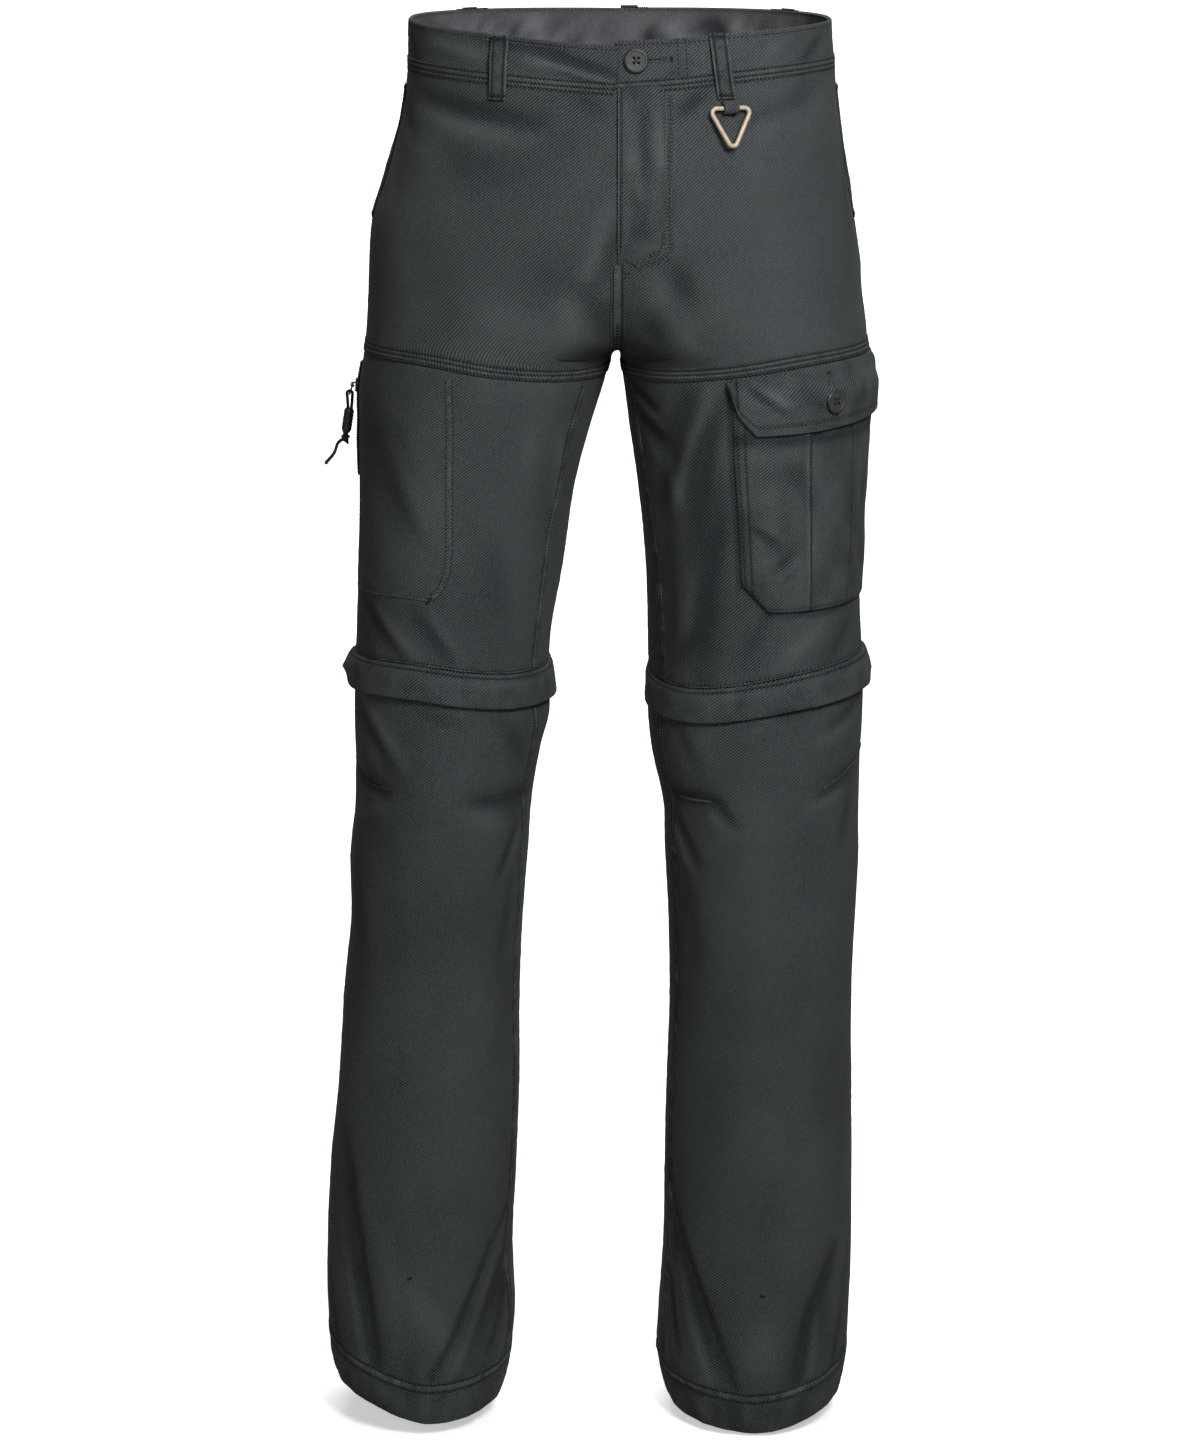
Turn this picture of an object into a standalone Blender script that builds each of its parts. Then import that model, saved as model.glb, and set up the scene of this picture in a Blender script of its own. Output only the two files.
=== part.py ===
# Convertible zip-off trousers, filled out as worn, with open waist and open hems.
# Sizes are in millimetres and turned into metres when a mesh is made.
# +Z is up, the front faces -Y, and +X is the wearer's left. "down" is the depth below the
# waistband's top edge, and "turn" is the angle round one leg: 0 at the inseam, 90 at the
# front, 180 at the side seam and 270 at the back.

import math
from collections import namedtuple

import bpy
import numpy as np

# Driving sizes
MM = 0.001
CLOTH = 1.6
DOUBLE_CLOTH = 2.8
SEAM_GAP = 0.3
HALF_SEAM_TURN = 0.12
SQUARENESS = 2.25
HALF_COLUMNS = 12
SHIN_COLUMNS = 16
HEM_DEPTH = 24.0
KNEE_ZIP_HEIGHT = 11.4
KNEE_FLAP_HEIGHT = 26.0
FLAP_SEAT = 0.7
LOOP_WIDTH = 13.0
LOOP_CLOTH = 1.4
WAIST_BUTTON = 17.4
CARGO_BUTTON = 17.4
RING_WIRE = 3.5
PULL_WIRE = 1.5
CORD = 2.4
RIGHT, LEFT = -1, 1

# Sections round hips and crotch: the inner share says how far the section reaches past the
# middle of the body, so that at 1 it is the whole waist and at 0 it is one leg alone
HipRow = namedtuple("HipRow", "down right_outer left_outer inner_share front back")
HIP_ROWS = [
    HipRow(0, 154, 157, 1.00, 114, 114),
    HipRow(36, 155, 160, 0.98, 117, 117),
    HipRow(60, 157.6, 162.2, 0.93, 119, 119),
    HipRow(90, 164.2, 166.4, 0.86, 120, 123),
    HipRow(120, 172.6, 171.4, 0.76, 121, 128),
    HipRow(140, 180.2, 175.4, 0.68, 121, 131),
    HipRow(170, 184.5, 181, 0.53, 120, 134),
    HipRow(210, 186.5, 184, 0.28, 117, 135),
    HipRow(230, 188, 186.5, 0.13, 114, 133),
    HipRow(244, 189, 188, 0.00, 112, 131),
]

# Sections of the legs: side and inseam distances from the middle plane, front and back
# depths, and how far the section's middle stands forward
LegRow = namedtuple(
    "LegRow", "down right_outer right_inner left_outer left_inner front back forward"
)
LEG_ROWS = [
    LegRow(255, 191, 5.2, 189, 3.0, 111, 129, 0),
    LegRow(270, 193, 9.5, 188.5, 5.6, 110, 126, 0),
    LegRow(300, 194, 19, 185.4, 9.4, 108, 120, 0),
    LegRow(345, 194.2, 31, 184, 16, 105, 113, 1),
    LegRow(410, 196, 40.8, 184.4, 22.5, 100, 106, 3),
    LegRow(470, 198.5, 51, 187, 24.2, 95, 101, 5),
    LegRow(505, 199.3, 51.5, 188, 24.8, 93, 99, 5),
    LegRow(524, 199.3, 51.4, 187.4, 24.4, 92, 98, 5),
    LegRow(550, 199.2, 57.8, 186.5, 26.8, 91, 96, 5),
    LegRow(600, 200.5, 66, 185.7, 36.8, 88, 94, 3),
    LegRow(630, 204.5, 68, 186.5, 37.8, 86, 94, 0),
    LegRow(694, 206, 73, 184.7, 41, 83, 94, -3),
    LegRow(760, 212, 75.6, 184.1, 42, 81, 92, -5),
    LegRow(825, 217, 76, 184.2, 40, 80, 90, -6),
    LegRow(892, 224, 78.7, 185.2, 38.7, 80, 88, -7),
    LegRow(958, 227.6, 82, 186.1, 38, 80, 86, -8),
    LegRow(1026, 228, 81, 184.7, 33.8, 80, 85, -8),
    LegRow(1048, 227, 83.5, 184, 33, 80, 84, -8),
    LegRow(1070, 223, 87, 181, 36, 78, 82, -8),
    LegRow(1100, 214, 94, 173, 44, 74, 78, -8),
]

# Edges and seams: the depth of each line at a turn, on the right and on the left leg
EdgeRow = namedtuple("EdgeRow", "turn right left")
WAIST_TOP = [
    EdgeRow(88, 11, 7), EdgeRow(105, 8, 5.5), EdgeRow(122, 4, 2.5), EdgeRow(145, 1, 0.5),
    EdgeRow(180, 0, 0), EdgeRow(225, 1, 1), EdgeRow(272, 2.5, 2.5),
]
WAIST_SEAM = [
    EdgeRow(88, 41, 40), EdgeRow(105, 38, 37), EdgeRow(122, 35, 33), EdgeRow(150, 32, 30),
    EdgeRow(180, 32, 31), EdgeRow(225, 35, 34), EdgeRow(272, 38, 38),
]
THIGH_SEAM = [
    EdgeRow(0, 261, 261), EdgeRow(22, 259, 259), EdgeRow(54, 255, 255.5), EdgeRow(84, 250, 249.5),
    EdgeRow(121, 242, 242), EdgeRow(160, 243, 242), EdgeRow(180, 245, 244),
]
KNEE_LINE = [
    EdgeRow(0, 483, 489), EdgeRow(16, 482, 489.5), EdgeRow(52, 478, 489), EdgeRow(78, 473.5, 484),
    EdgeRow(115, 468, 475), EdgeRow(150, 471, 471), EdgeRow(180, 475, 472),
    EdgeRow(225, 478, 477), EdgeRow(270, 481, 482), EdgeRow(315, 483, 486), EdgeRow(360, 483, 489),
]
HEM_LINE = [
    EdgeRow(0, 1077, 1082), EdgeRow(22, 1080, 1086), EdgeRow(60, 1085, 1091),
    EdgeRow(88, 1085.5, 1095), EdgeRow(105, 1080, 1093), EdgeRow(127, 1071, 1087),
    EdgeRow(153, 1064, 1080), EdgeRow(180, 1060, 1077), EdgeRow(225, 1066, 1080),
    EdgeRow(270, 1074, 1085), EdgeRow(315, 1077, 1085), EdgeRow(360, 1077, 1082),
]
# How far the zip's cover stands off the leg at its lower edge
FLAP_LIFT = [
    EdgeRow(0, 4.5, 1.4), EdgeRow(30, 3.4, 1.8), EdgeRow(90, 3.0, 3.0), EdgeRow(150, 4.0, 4.6),
    EdgeRow(166, 6.0, 6.4), EdgeRow(180, 11.0, 7.0), EdgeRow(194, 6.0, 6.2), EdgeRow(215, 4.0, 4.0),
    EdgeRow(270, 3.0, 3.0), EdgeRow(330, 3.6, 2.0), EdgeRow(360, 4.5, 1.4),
]

# Largest folds: a soft trough (height below 0) or ridge from one place to another
Fold = namedtuple("Fold", "side turn_a down_a turn_b down_b width height")
FOLDS = [
    Fold(RIGHT, 142, 892, 119, 1031, 13, -3.2),
    Fold(RIGHT, 14, 948, 60, 1022, 13, -3.8),
    Fold(RIGHT, 92, 985, 68, 1030, 16, 2.6),
    Fold(RIGHT, 172, 562, 119, 570, 10, -2.2),
    Fold(RIGHT, 72, 574, 10, 586, 10, -2.4),
    Fold(RIGHT, 146, 300, 118, 372, 18, -2.0),
    Fold(RIGHT, 122, 318, 108, 392, 16, 1.4),
    Fold(RIGHT, 225, 552, 300, 570, 16, -3.4),
    Fold(RIGHT, 212, 600, 285, 622, 16, -2.6),
    Fold(RIGHT, 235, 1002, 300, 1034, 15, -3.4),
    Fold(RIGHT, 205, 950, 250, 992, 15, -2.6),
    Fold(RIGHT, 315, 245, 250, 282, 18, -3.0),
    Fold(LEFT, 24, 936, 74, 1046, 14, -3.8),
    Fold(LEFT, 136, 956, 114, 1048, 14, -3.2),
    Fold(LEFT, 96, 1000, 88, 1050, 18, 2.4),
    Fold(LEFT, 16, 584, 64, 578, 10, -2.4),
    Fold(LEFT, 128, 566, 168, 556, 10, -2.2),
    Fold(LEFT, 30, 282, 62, 330, 18, -2.0),
    Fold(LEFT, 222, 560, 296, 576, 16, -3.2),
    Fold(LEFT, 230, 606, 300, 626, 16, -2.6),
    Fold(LEFT, 228, 1010, 292, 1046, 15, -3.2),
    Fold(LEFT, 214, 962, 262, 996, 15, -2.4),
    Fold(LEFT, 312, 246, 246, 280, 18, -3.0),
]
MM_PER_DEGREE = 1.6


# Cloth form

def form_rows():
    """All sections as one table: down, right outer and inner, left outer and inner, depths."""
    rows = []
    for row in HIP_ROWS:
        right_inner = -row.inner_share * row.right_outer
        left_inner = -row.inner_share * row.left_outer
        rows.append(LegRow(row.down, row.right_outer, right_inner, row.left_outer, left_inner,
                           row.front, row.back, 0))
    return np.array(rows + LEG_ROWS, float)


FORM = form_rows()
FORM_COLUMN = {name: index for index, name in enumerate(LegRow._fields)}


def smooth_value(places, values, at):
    """A value between table rows, on a curve with no kink at a row."""
    slopes = np.gradient(values, places)
    at = np.asarray(at, float)
    index = np.clip(np.searchsorted(places, at) - 1, 0, len(places) - 2)
    step = places[index + 1] - places[index]
    t = np.clip((at - places[index]) / step, 0, 1)
    start = (2 * t**3 - 3 * t**2 + 1) * values[index] + (t**3 - 2 * t**2 + t) * step * slopes[index]
    end = (3 * t**2 - 2 * t**3) * values[index + 1] + (t**3 - t**2) * step * slopes[index + 1]
    return start + end


def section(side, down):
    """Middle and half width of a section on one side, its front and back depth, and its shift."""
    name = "right" if side == RIGHT else "left"
    places = FORM[:, 0]
    outer = smooth_value(places, FORM[:, FORM_COLUMN[name + "_outer"]], down)
    inner = smooth_value(places, FORM[:, FORM_COLUMN[name + "_inner"]], down)
    front = smooth_value(places, FORM[:, FORM_COLUMN["front"]], down)
    back = smooth_value(places, FORM[:, FORM_COLUMN["back"]], down)
    forward = smooth_value(places, FORM[:, FORM_COLUMN["forward"]], down)
    return (outer + inner) / 2, (outer - inner) / 2, front, back, forward


def edge(rows, side):
    """A seam or edge as a function: its depth at a turn."""
    turns = np.array([row.turn for row in rows], float)
    depths = np.array([row.right if side == RIGHT else row.left for row in rows], float)
    return lambda turn: smooth_value(turns, depths, np.clip(turn, turns[0], turns[-1]))


def raw_point(side, turn, down):
    """A point of the smooth cloth form, before folds."""
    middle, half_width, front, back, forward = section(side, down)
    angle = np.radians(turn)
    reach = (np.abs(np.cos(angle))**SQUARENESS + np.abs(np.sin(angle))**SQUARENESS)**(-1 / SQUARENESS)
    depth = np.where(np.sin(angle) > 0, front, back)
    x = side * (middle - half_width * reach * np.cos(angle))
    y = -forward - depth * reach * np.sin(angle)
    return np.stack([x, y, -down + 0 * x], -1)


def outward(side, turn, down):
    """The direction that points out of the cloth."""
    along = raw_point(side, turn + 0.5, down) - raw_point(side, turn - 0.5, down)
    below = raw_point(side, turn, down + 1.0) - raw_point(side, turn, down - 1.0)
    normal = np.cross(along, below)
    normal /= np.linalg.norm(normal, axis=-1, keepdims=True)
    return -side * normal


def fold_height(side, turn, down):
    """How far the folds move the cloth out at a place."""
    height = np.zeros(np.broadcast(turn, down).shape)
    for fold in FOLDS:
        if fold.side != side:
            continue
        run = np.array([(fold.turn_b - fold.turn_a) * MM_PER_DEGREE, fold.down_b - fold.down_a])
        across = (turn - fold.turn_a) * MM_PER_DEGREE
        below = down - fold.down_a
        along = np.clip((across * run[0] + below * run[1]) / (run @ run), 0, 1)
        distance = np.hypot(across - along * run[0], below - along * run[1])
        height = height + fold.height * np.exp(-(distance / fold.width)**2) * np.sin(
            math.pi * (0.15 + 0.7 * along))
    return height


def cloth_point(side, turn, down, lift):
    """A point of the folded cloth, moved out by a lift."""
    turn, down = np.broadcast_arrays(np.asarray(turn, float), np.asarray(down, float))
    height = fold_height(side, turn, down) + lift
    return raw_point(side, turn, down) + outward(side, turn, down) * height[..., None]


def centre_turn(side, down, gap):
    """The turn at which the front of one half meets the middle plane."""
    middle, half_width, _, _, _ = section(side, down)
    share = np.clip((middle - gap) / half_width, -1, 1)
    steep = np.maximum(np.abs(share), 1e-6)**-SQUARENESS - 1
    angle = np.degrees(np.arctan(np.maximum(steep, 0)**(1 / SQUARENESS)))
    return np.where(share > 0, angle, 180 - angle)


def degrees_of(side, turn, down, length):
    """A short length across the cloth as a turn."""
    step = raw_point(side, turn + 0.5, down) - raw_point(side, turn - 0.5, down)
    return length / np.linalg.norm(step, axis=-1)


# Mesh makers

def material(name, colour, roughness, metallic=0.0):
    made = bpy.data.materials.new(name)
    made.use_nodes = True
    shader = made.node_tree.nodes["Principled BSDF"]
    shader.inputs["Base Color"].default_value = (*colour, 1.0)
    shader.inputs["Roughness"].default_value = roughness
    shader.inputs["Metallic"].default_value = metallic
    return made


def solid(name, points, faces, finish, location=(0, 0, 0)):
    """A closed mesh object from points in millimetres, with its faces turned to point out."""
    points = np.asarray(points, float) - np.asarray(location, float)
    mesh = bpy.data.meshes.new(name)
    mesh.from_pydata([tuple(point) for point in points * MM], [], faces)
    mesh.calc_loop_triangles()
    corners = np.array([[points[i] for i in tri.vertices] for tri in mesh.loop_triangles])
    if np.linalg.det(corners).sum() < 0:
        mesh.flip_normals()
    mesh.materials.append(finish)
    mesh.shade_smooth()
    mesh.set_sharp_from_angle(angle=math.radians(40))
    made = bpy.data.objects.new(name, mesh)
    made.location = [value * MM for value in location]
    bpy.context.scene.collection.objects.link(made)
    return made


def shell(name, outer, inner, finish, closed=False):
    """A wall of cloth between two grids of points, with its rims closed."""
    rows, columns = outer.shape[:2]
    points = np.concatenate([outer.reshape(-1, 3), inner.reshape(-1, 3)])
    last = columns if closed else columns - 1

    def out(row, column):
        return row * columns + column % columns

    def within(row, column):
        return rows * columns + out(row, column)

    faces = []
    for row in range(rows - 1):
        for column in range(last):
            faces.append((out(row, column), out(row, column + 1),
                          out(row + 1, column + 1), out(row + 1, column)))
            faces.append((within(row, column), within(row + 1, column),
                          within(row + 1, column + 1), within(row, column + 1)))
    for column in range(last):
        faces.append((out(0, column), within(0, column),
                      within(0, column + 1), out(0, column + 1)))
        faces.append((out(rows - 1, column), out(rows - 1, column + 1),
                      within(rows - 1, column + 1), within(rows - 1, column)))
    if not closed:
        for row in range(rows - 1):
            faces.append((out(row, 0), out(row + 1, 0), within(row + 1, 0), within(row, 0)))
            faces.append((out(row, columns - 1), within(row, columns - 1),
                          within(row + 1, columns - 1), out(row + 1, columns - 1)))
    return solid(name, points, faces, finish)


def panel(name, side, start, end, top, bottom, columns, shares, finish, hem=0.0):
    """A cut panel between two edges round the leg and two lines down it."""
    across, share = np.meshgrid(np.linspace(0, 1, columns + 1), np.asarray(shares, float))
    turn = np.full(across.shape, 135.0)
    for _ in range(12):
        down = top(turn) + (bottom(turn) - hem - top(turn)) * share
        turn = start(down) + (end(down) - start(down)) * across
    thickness = np.full(down.shape, CLOTH)
    if hem:
        turn = np.vstack([turn, turn[-1:], turn[-1:]])
        down = np.vstack([down, down[-1:] + 1.0, bottom(turn[-1:])])
        thickness = np.vstack([thickness, np.full((2, columns + 1), DOUBLE_CLOTH)])
    outer = cloth_point(side, turn, down, 0.0)
    inner = cloth_point(side, turn, down, -thickness)
    return shell(name, outer, inner, finish)


def patch(name, side, turn, down, lift, thickness, finish, closed=False):
    """A piece that lies on the cloth: the cloth's own points, moved out by a lift."""
    inner = cloth_point(side, turn, down, lift)
    outer = cloth_point(side, turn, down, lift + thickness)
    return shell(name, outer, inner, finish, closed)


def wire(name, path, thickness, finish, closed, location=(0, 0, 0)):
    """A round wire or cord along a path of points."""
    curve = bpy.data.curves.new(name, "CURVE")
    curve.dimensions = "3D"
    curve.fill_mode = "FULL"
    curve.bevel_depth = thickness / 2 * MM
    curve.bevel_resolution = 2
    curve.use_fill_caps = not closed
    spline = curve.splines.new("POLY")
    spline.points.add(len(path) - 1)
    for point, place in zip(spline.points, path):
        point.co = (*((np.asarray(place) - location) * MM), 1.0)
    spline.use_cyclic_u = closed
    curve.materials.append(finish)
    made = bpy.data.objects.new(name, curve)
    made.location = [value * MM for value in location]
    bpy.context.scene.collection.objects.link(made)
    return made


def frame_at(side, turn, down, lift):
    """A place on the cloth with its outward, downward and sideways directions."""
    place = cloth_point(side, turn, down, lift)
    out = outward(side, np.float64(turn), np.float64(down))
    below = np.array([0.0, 0.0, -1.0])
    below = below - out * (below @ out)
    below /= np.linalg.norm(below)
    return place, out, below, np.cross(below, out)


def turned(name, profile, middle, axis, beside, finish, steps=16):
    """A turned piece: radius and height pairs swept round an axis, closed at both poles."""
    other = np.cross(axis, beside)
    points = [middle + axis * profile[0][1]]
    for radius, height in profile[1:-1]:
        for step in range(steps):
            angle = 2 * math.pi * step / steps
            points.append(middle + axis * height
                          + radius * (math.cos(angle) * beside + math.sin(angle) * other))
    points.append(middle + axis * profile[-1][1])
    rings = len(profile) - 2
    faces = []
    for step in range(steps):
        after = (step + 1) % steps
        faces.append((0, 1 + after, 1 + step))
        for ring in range(rings - 1):
            base = 1 + ring * steps
            faces.append((base + step, base + after, base + steps + after, base + steps + step))
        last = 1 + (rings - 1) * steps
        faces.append((last + step, last + after, len(points) - 1))
    return solid(name, points, faces, finish)


def extruded(name, outline, middle, across, along, depth, half_width, finish):
    """An outline of (across, along) pairs, extruded both ways in depth."""
    count = len(outline)
    flat = [middle + across * a + along * b for a, b in outline]
    points = [p - depth * half_width for p in flat] + [p + depth * half_width for p in flat]
    faces = [tuple(range(count)), tuple(range(2 * count - 1, count - 1, -1))]
    for i in range(count):
        j = (i + 1) % count
        faces.append((i, count + i, count + j, j))
    return solid(name, points, faces, finish)


def rounded_loop(corners, radius, steps=3):
    """A closed path through corners, each rounded by an arc of a few points."""
    path = []
    count = len(corners)
    for i, corner in enumerate(corners):
        before = corners[i - 1] - corner
        after = corners[(i + 1) % count] - corner
        before = before / np.linalg.norm(before)
        after = after / np.linalg.norm(after)
        half = math.acos(np.clip(before @ after, -1, 1)) / 2
        first = corner + before * radius / math.tan(half)
        middle = corner + (before + after) / np.linalg.norm(before + after) * radius / math.sin(half)
        last = corner + after * radius / math.tan(half)
        for step in range(steps + 1):
            t = step / steps
            spoke = (first - middle) * (1 - t) + (last - middle) * t
            path.append(middle + spoke / np.linalg.norm(spoke) * radius)
    return path


def smooth_path(points, count):
    """Evenly spaced points on a smooth curve through the route's own points."""
    points = np.asarray(points, float)
    lengths = np.concatenate([[0], np.cumsum(np.linalg.norm(np.diff(points, axis=0), axis=1))])
    at = np.linspace(0, lengths[-1], count)
    return np.stack([smooth_value(lengths, points[:, axis], at) for axis in range(3)], -1)


# Panels of cloth

def side_name(side):
    return "right" if side == RIGHT else "left"


def below_line(line, distance):
    return lambda turn: line(turn) + distance


def inseam_start(side):
    """The front edge of a half: the middle plane above the crotch, the inseam below it."""
    return lambda down: np.maximum(centre_turn(side, down, SEAM_GAP / 2), HALF_SEAM_TURN)


def inseam_end(side):
    return lambda down: 360 - np.maximum(centre_turn(side, down, SEAM_GAP / 2), HALF_SEAM_TURN)


def front_side_edge(down):
    return 180 - HALF_SEAM_TURN + 0 * down


def back_side_edge(down):
    return 180 + HALF_SEAM_TURN + 0 * down


def make_waistband(finish):
    """Two front pieces and one back piece, which runs round behind from side to side."""
    for side in (RIGHT, LEFT):
        panel("waistband_front_" + side_name(side), side, inseam_start(side), front_side_edge,
              edge(WAIST_TOP, side), edge(WAIST_SEAM, side), HALF_COLUMNS, (0, 0.5, 1), finish)
    halves = []
    for side in (RIGHT, LEFT):
        across, share = np.meshgrid(np.linspace(0, 1, HALF_COLUMNS + 1), (0, 0.5, 1))
        turn = np.full(across.shape, 225.0)
        for _ in range(12):
            top = edge(WAIST_TOP, side)(turn)
            down = top + (edge(WAIST_SEAM, side)(turn) - top) * share
            middle_turn = 360 - centre_turn(side, down, 0.0)
            turn = back_side_edge(down) + (middle_turn - back_side_edge(down)) * across
        grids = [cloth_point(side, turn, down, lift) for lift in (0.0, -CLOTH)]
        halves.append(grids)
    outer, inner = (np.hstack([right, left[:, -2::-1]]) for right, left in zip(*halves))
    shell("waistband_back", outer, inner, finish)


def make_upper(finish):
    """Fronts down to the thigh seam, and backs that run whole from waistband to knee."""
    for side in (RIGHT, LEFT):
        waist = below_line(edge(WAIST_SEAM, side), SEAM_GAP)
        knee = edge(KNEE_LINE, side)
        thigh = edge(THIGH_SEAM, side)
        panel("front_" + side_name(side), side, inseam_start(side), front_side_edge,
              waist, thigh, HALF_COLUMNS, np.linspace(0, 1, 9), finish)
        panel("thigh_front_" + side_name(side), side, inseam_start(side), front_side_edge,
              below_line(thigh, SEAM_GAP), knee, HALF_COLUMNS, np.linspace(0, 1, 9), finish)
        panel("back_" + side_name(side), side, back_side_edge, inseam_end(side),
              waist, knee, HALF_COLUMNS, np.linspace(0, 1, 17), finish)


def make_lower(finish):
    """Zip-off lower legs, with a turned hem of double cloth and denser rows near it."""
    shares = np.concatenate([np.linspace(0, 0.6, 9), np.linspace(0.6, 1, 11)[1:]])
    for side in (RIGHT, LEFT):
        top = below_line(edge(KNEE_LINE, side), KNEE_ZIP_HEIGHT + 3 * SEAM_GAP)
        hem = edge(HEM_LINE, side)
        panel("lower_front_" + side_name(side), side, inseam_start(side), front_side_edge,
              top, hem, SHIN_COLUMNS, shares, finish, hem=HEM_DEPTH)
        panel("lower_back_" + side_name(side), side, back_side_edge, inseam_end(side),
              top, hem, HALF_COLUMNS, shares, finish, hem=HEM_DEPTH)


def make_knee_zips(cloth, zip_finish, metal):
    """The zip round each knee, its slider, and the cover of cloth that hangs over both."""
    ring_turns = np.linspace(0, 360, 2 * HALF_COLUMNS + 1)[:-1]
    flap_turns = np.linspace(0, 360, 37)[:-1]
    for side in (RIGHT, LEFT):
        knee = edge(KNEE_LINE, side)
        turn, share = np.meshgrid(ring_turns, (0, 1))
        down = knee(turn) + SEAM_GAP + KNEE_ZIP_HEIGHT * share
        patch("knee_zip_" + side_name(side), side, turn, down, -CLOTH, CLOTH, zip_finish, closed=True)

        turn, share = np.meshgrid(flap_turns, (0, 0.12, 0.4, 0.7, 1))
        at_side = np.exp(-((turn - 180) / 13)**2)
        height = KNEE_FLAP_HEIGHT - (5.0 if side == RIGHT else 2.0) * at_side
        down = knee(turn) + SEAM_GAP + height * share
        curl = (0.75 if side == RIGHT else 0.55) * at_side
        rise = np.interp(share, (0, 0.12, 0.4, 0.7, 1), (0, 0.4, 0.8, 1, 1)) - curl * (share > 0.9)
        lift = FLAP_SEAT + (edge(FLAP_LIFT, side)(turn) - FLAP_SEAT) * rise
        patch("knee_flap_" + side_name(side), side, turn, down, lift, CLOTH, cloth, closed=True)

        place, out, below, across = frame_at(side, 180.0, float(knee(180.0)) + 9.0, 0.35)
        reach = 7.2 if side == RIGHT else 3.8
        outline = [(0, -4), (0, 4.0), (1.4, 4.0), (reach - 1.0, 8.6), (reach, 8.2), (2.4, 2.2),
                   (1.6, 1.4), (1.1, -4)]
        extruded("knee_slider_" + side_name(side), outline, place, out, below, across, 2.6, metal)


# Pieces that lie on the panels

def make_fly(finish):
    """The fly: a strip of doubled cloth on the left front, curved in to the edge at its foot."""
    top_down, straight_down, foot_down, width = 41.0, 140.0, 166.0, 33.0
    down = np.concatenate([np.linspace(top_down, straight_down, 8),
                           np.linspace(straight_down, foot_down, 5)[1:]])
    past = np.clip((down - straight_down) / (foot_down - straight_down), 0, 1)
    reach = 3.0 + (width - 3.0) * np.sqrt(1 - past**2)
    start = centre_turn(LEFT, down, 0.4)
    across = np.linspace(0, 1, 4)
    turn = start[:, None] + degrees_of(LEFT, start, down, reach)[:, None] * across
    down = np.repeat(down[:, None], 4, axis=1)
    down[0] = edge(WAIST_SEAM, LEFT)(turn[0]) + 0.6
    patch("fly", LEFT, turn, down, 0.45, 1.0, finish)


# Belt loops: the turn at top and foot and the depth where each starts and ends
LoopRow = namedtuple("LoopRow", "name side turn_top turn_foot top foot")
BELT_LOOPS = [
    LoopRow("belt_loop_front_right", RIGHT, 121.8, 121.5, 4.5, 50),
    LoopRow("belt_loop_front_left", LEFT, 116.0, 117.2, 2.5, 49),
    LoopRow("belt_loop_back_right", RIGHT, 226.6, 226.2, 0.0, 51),
    LoopRow("belt_loop_back_left", LEFT, 218.2, 218.0, 0.0, 51),
    LoopRow("belt_loop_back_middle", LEFT, 266.5, 266.3, 1.0, 52),
]


def make_belt_loops(finish):
    """Narrow strips sewn down at both ends, which stand off the waistband between them."""
    for row in BELT_LOOPS:
        share = np.array([0, 0.12, 0.3, 0.55, 0.8, 1.0])
        down = row.top + (row.foot - row.top) * share
        middle = row.turn_top + (row.turn_foot - row.turn_top) * share
        half = degrees_of(row.side, middle, down, LOOP_WIDTH / 2)
        turn = middle[:, None] + half[:, None] * np.array([-1, 0, 1])
        down = np.repeat(down[:, None], 3, axis=1)
        lift = 0.7 + 1.9 * np.sin(math.pi * share)[:, None] + 0 * turn
        patch(row.name, row.side, turn, down, lift, LOOP_CLOTH, finish)


def make_side_pockets(finish):
    """The stitched edge of each side pocket's mouth, which gapes a little from the hip."""
    top_down, foot_down, width = 48.0, 146.0, 11.0
    share = np.linspace(0, 1, 8)
    for side in (RIGHT, LEFT):
        down = top_down + (foot_down - top_down) * share
        turn = 179.0 - degrees_of(side, 179.0, down, width)[:, None] * np.array([1, 0.5, 0])
        down = np.repeat(down[:, None], 3, axis=1)
        gape = np.sin(math.pi * share)[:, None]**2 * np.array([0.1, 0.5, 1])
        patch("side_pocket_" + side_name(side), side, turn, down, 0.5 + 1.3 * gape, 1.2, finish)


# Outline of the cargo pocket and of its flap: depth of the lower edge at each turn
CARGO_TURNS = (82.0, 88.0, 95.5, 103, 110, 116.2, 118.8, 128, 139.8, 143.2, 156, 171, 178, 184.5)
PLEAT_TURNS = (117.5, 141.5)
CARGO_FLAP_TURNS = (80.5, 84.5, 92.5, 102, 111, 119.5, 126.5, 134, 144, 155, 166, 176, 182, 187)
FootRow = namedtuple("FootRow", "turn down")
CARGO_FOOT = [FootRow(82, 407), FootRow(95.5, 427), FootRow(171, 427), FootRow(184.5, 407)]
CARGO_FLAP_FOOT = [
    FootRow(80.5, 256), FootRow(84.5, 278), FootRow(92.5, 292), FootRow(111, 290.5),
    FootRow(133, 288), FootRow(155, 286.5), FootRow(176, 287), FootRow(182, 280), FootRow(187, 258),
]


def straight_foot(rows, turn):
    return np.interp(turn, [row.turn for row in rows], [row.down for row in rows])


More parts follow.
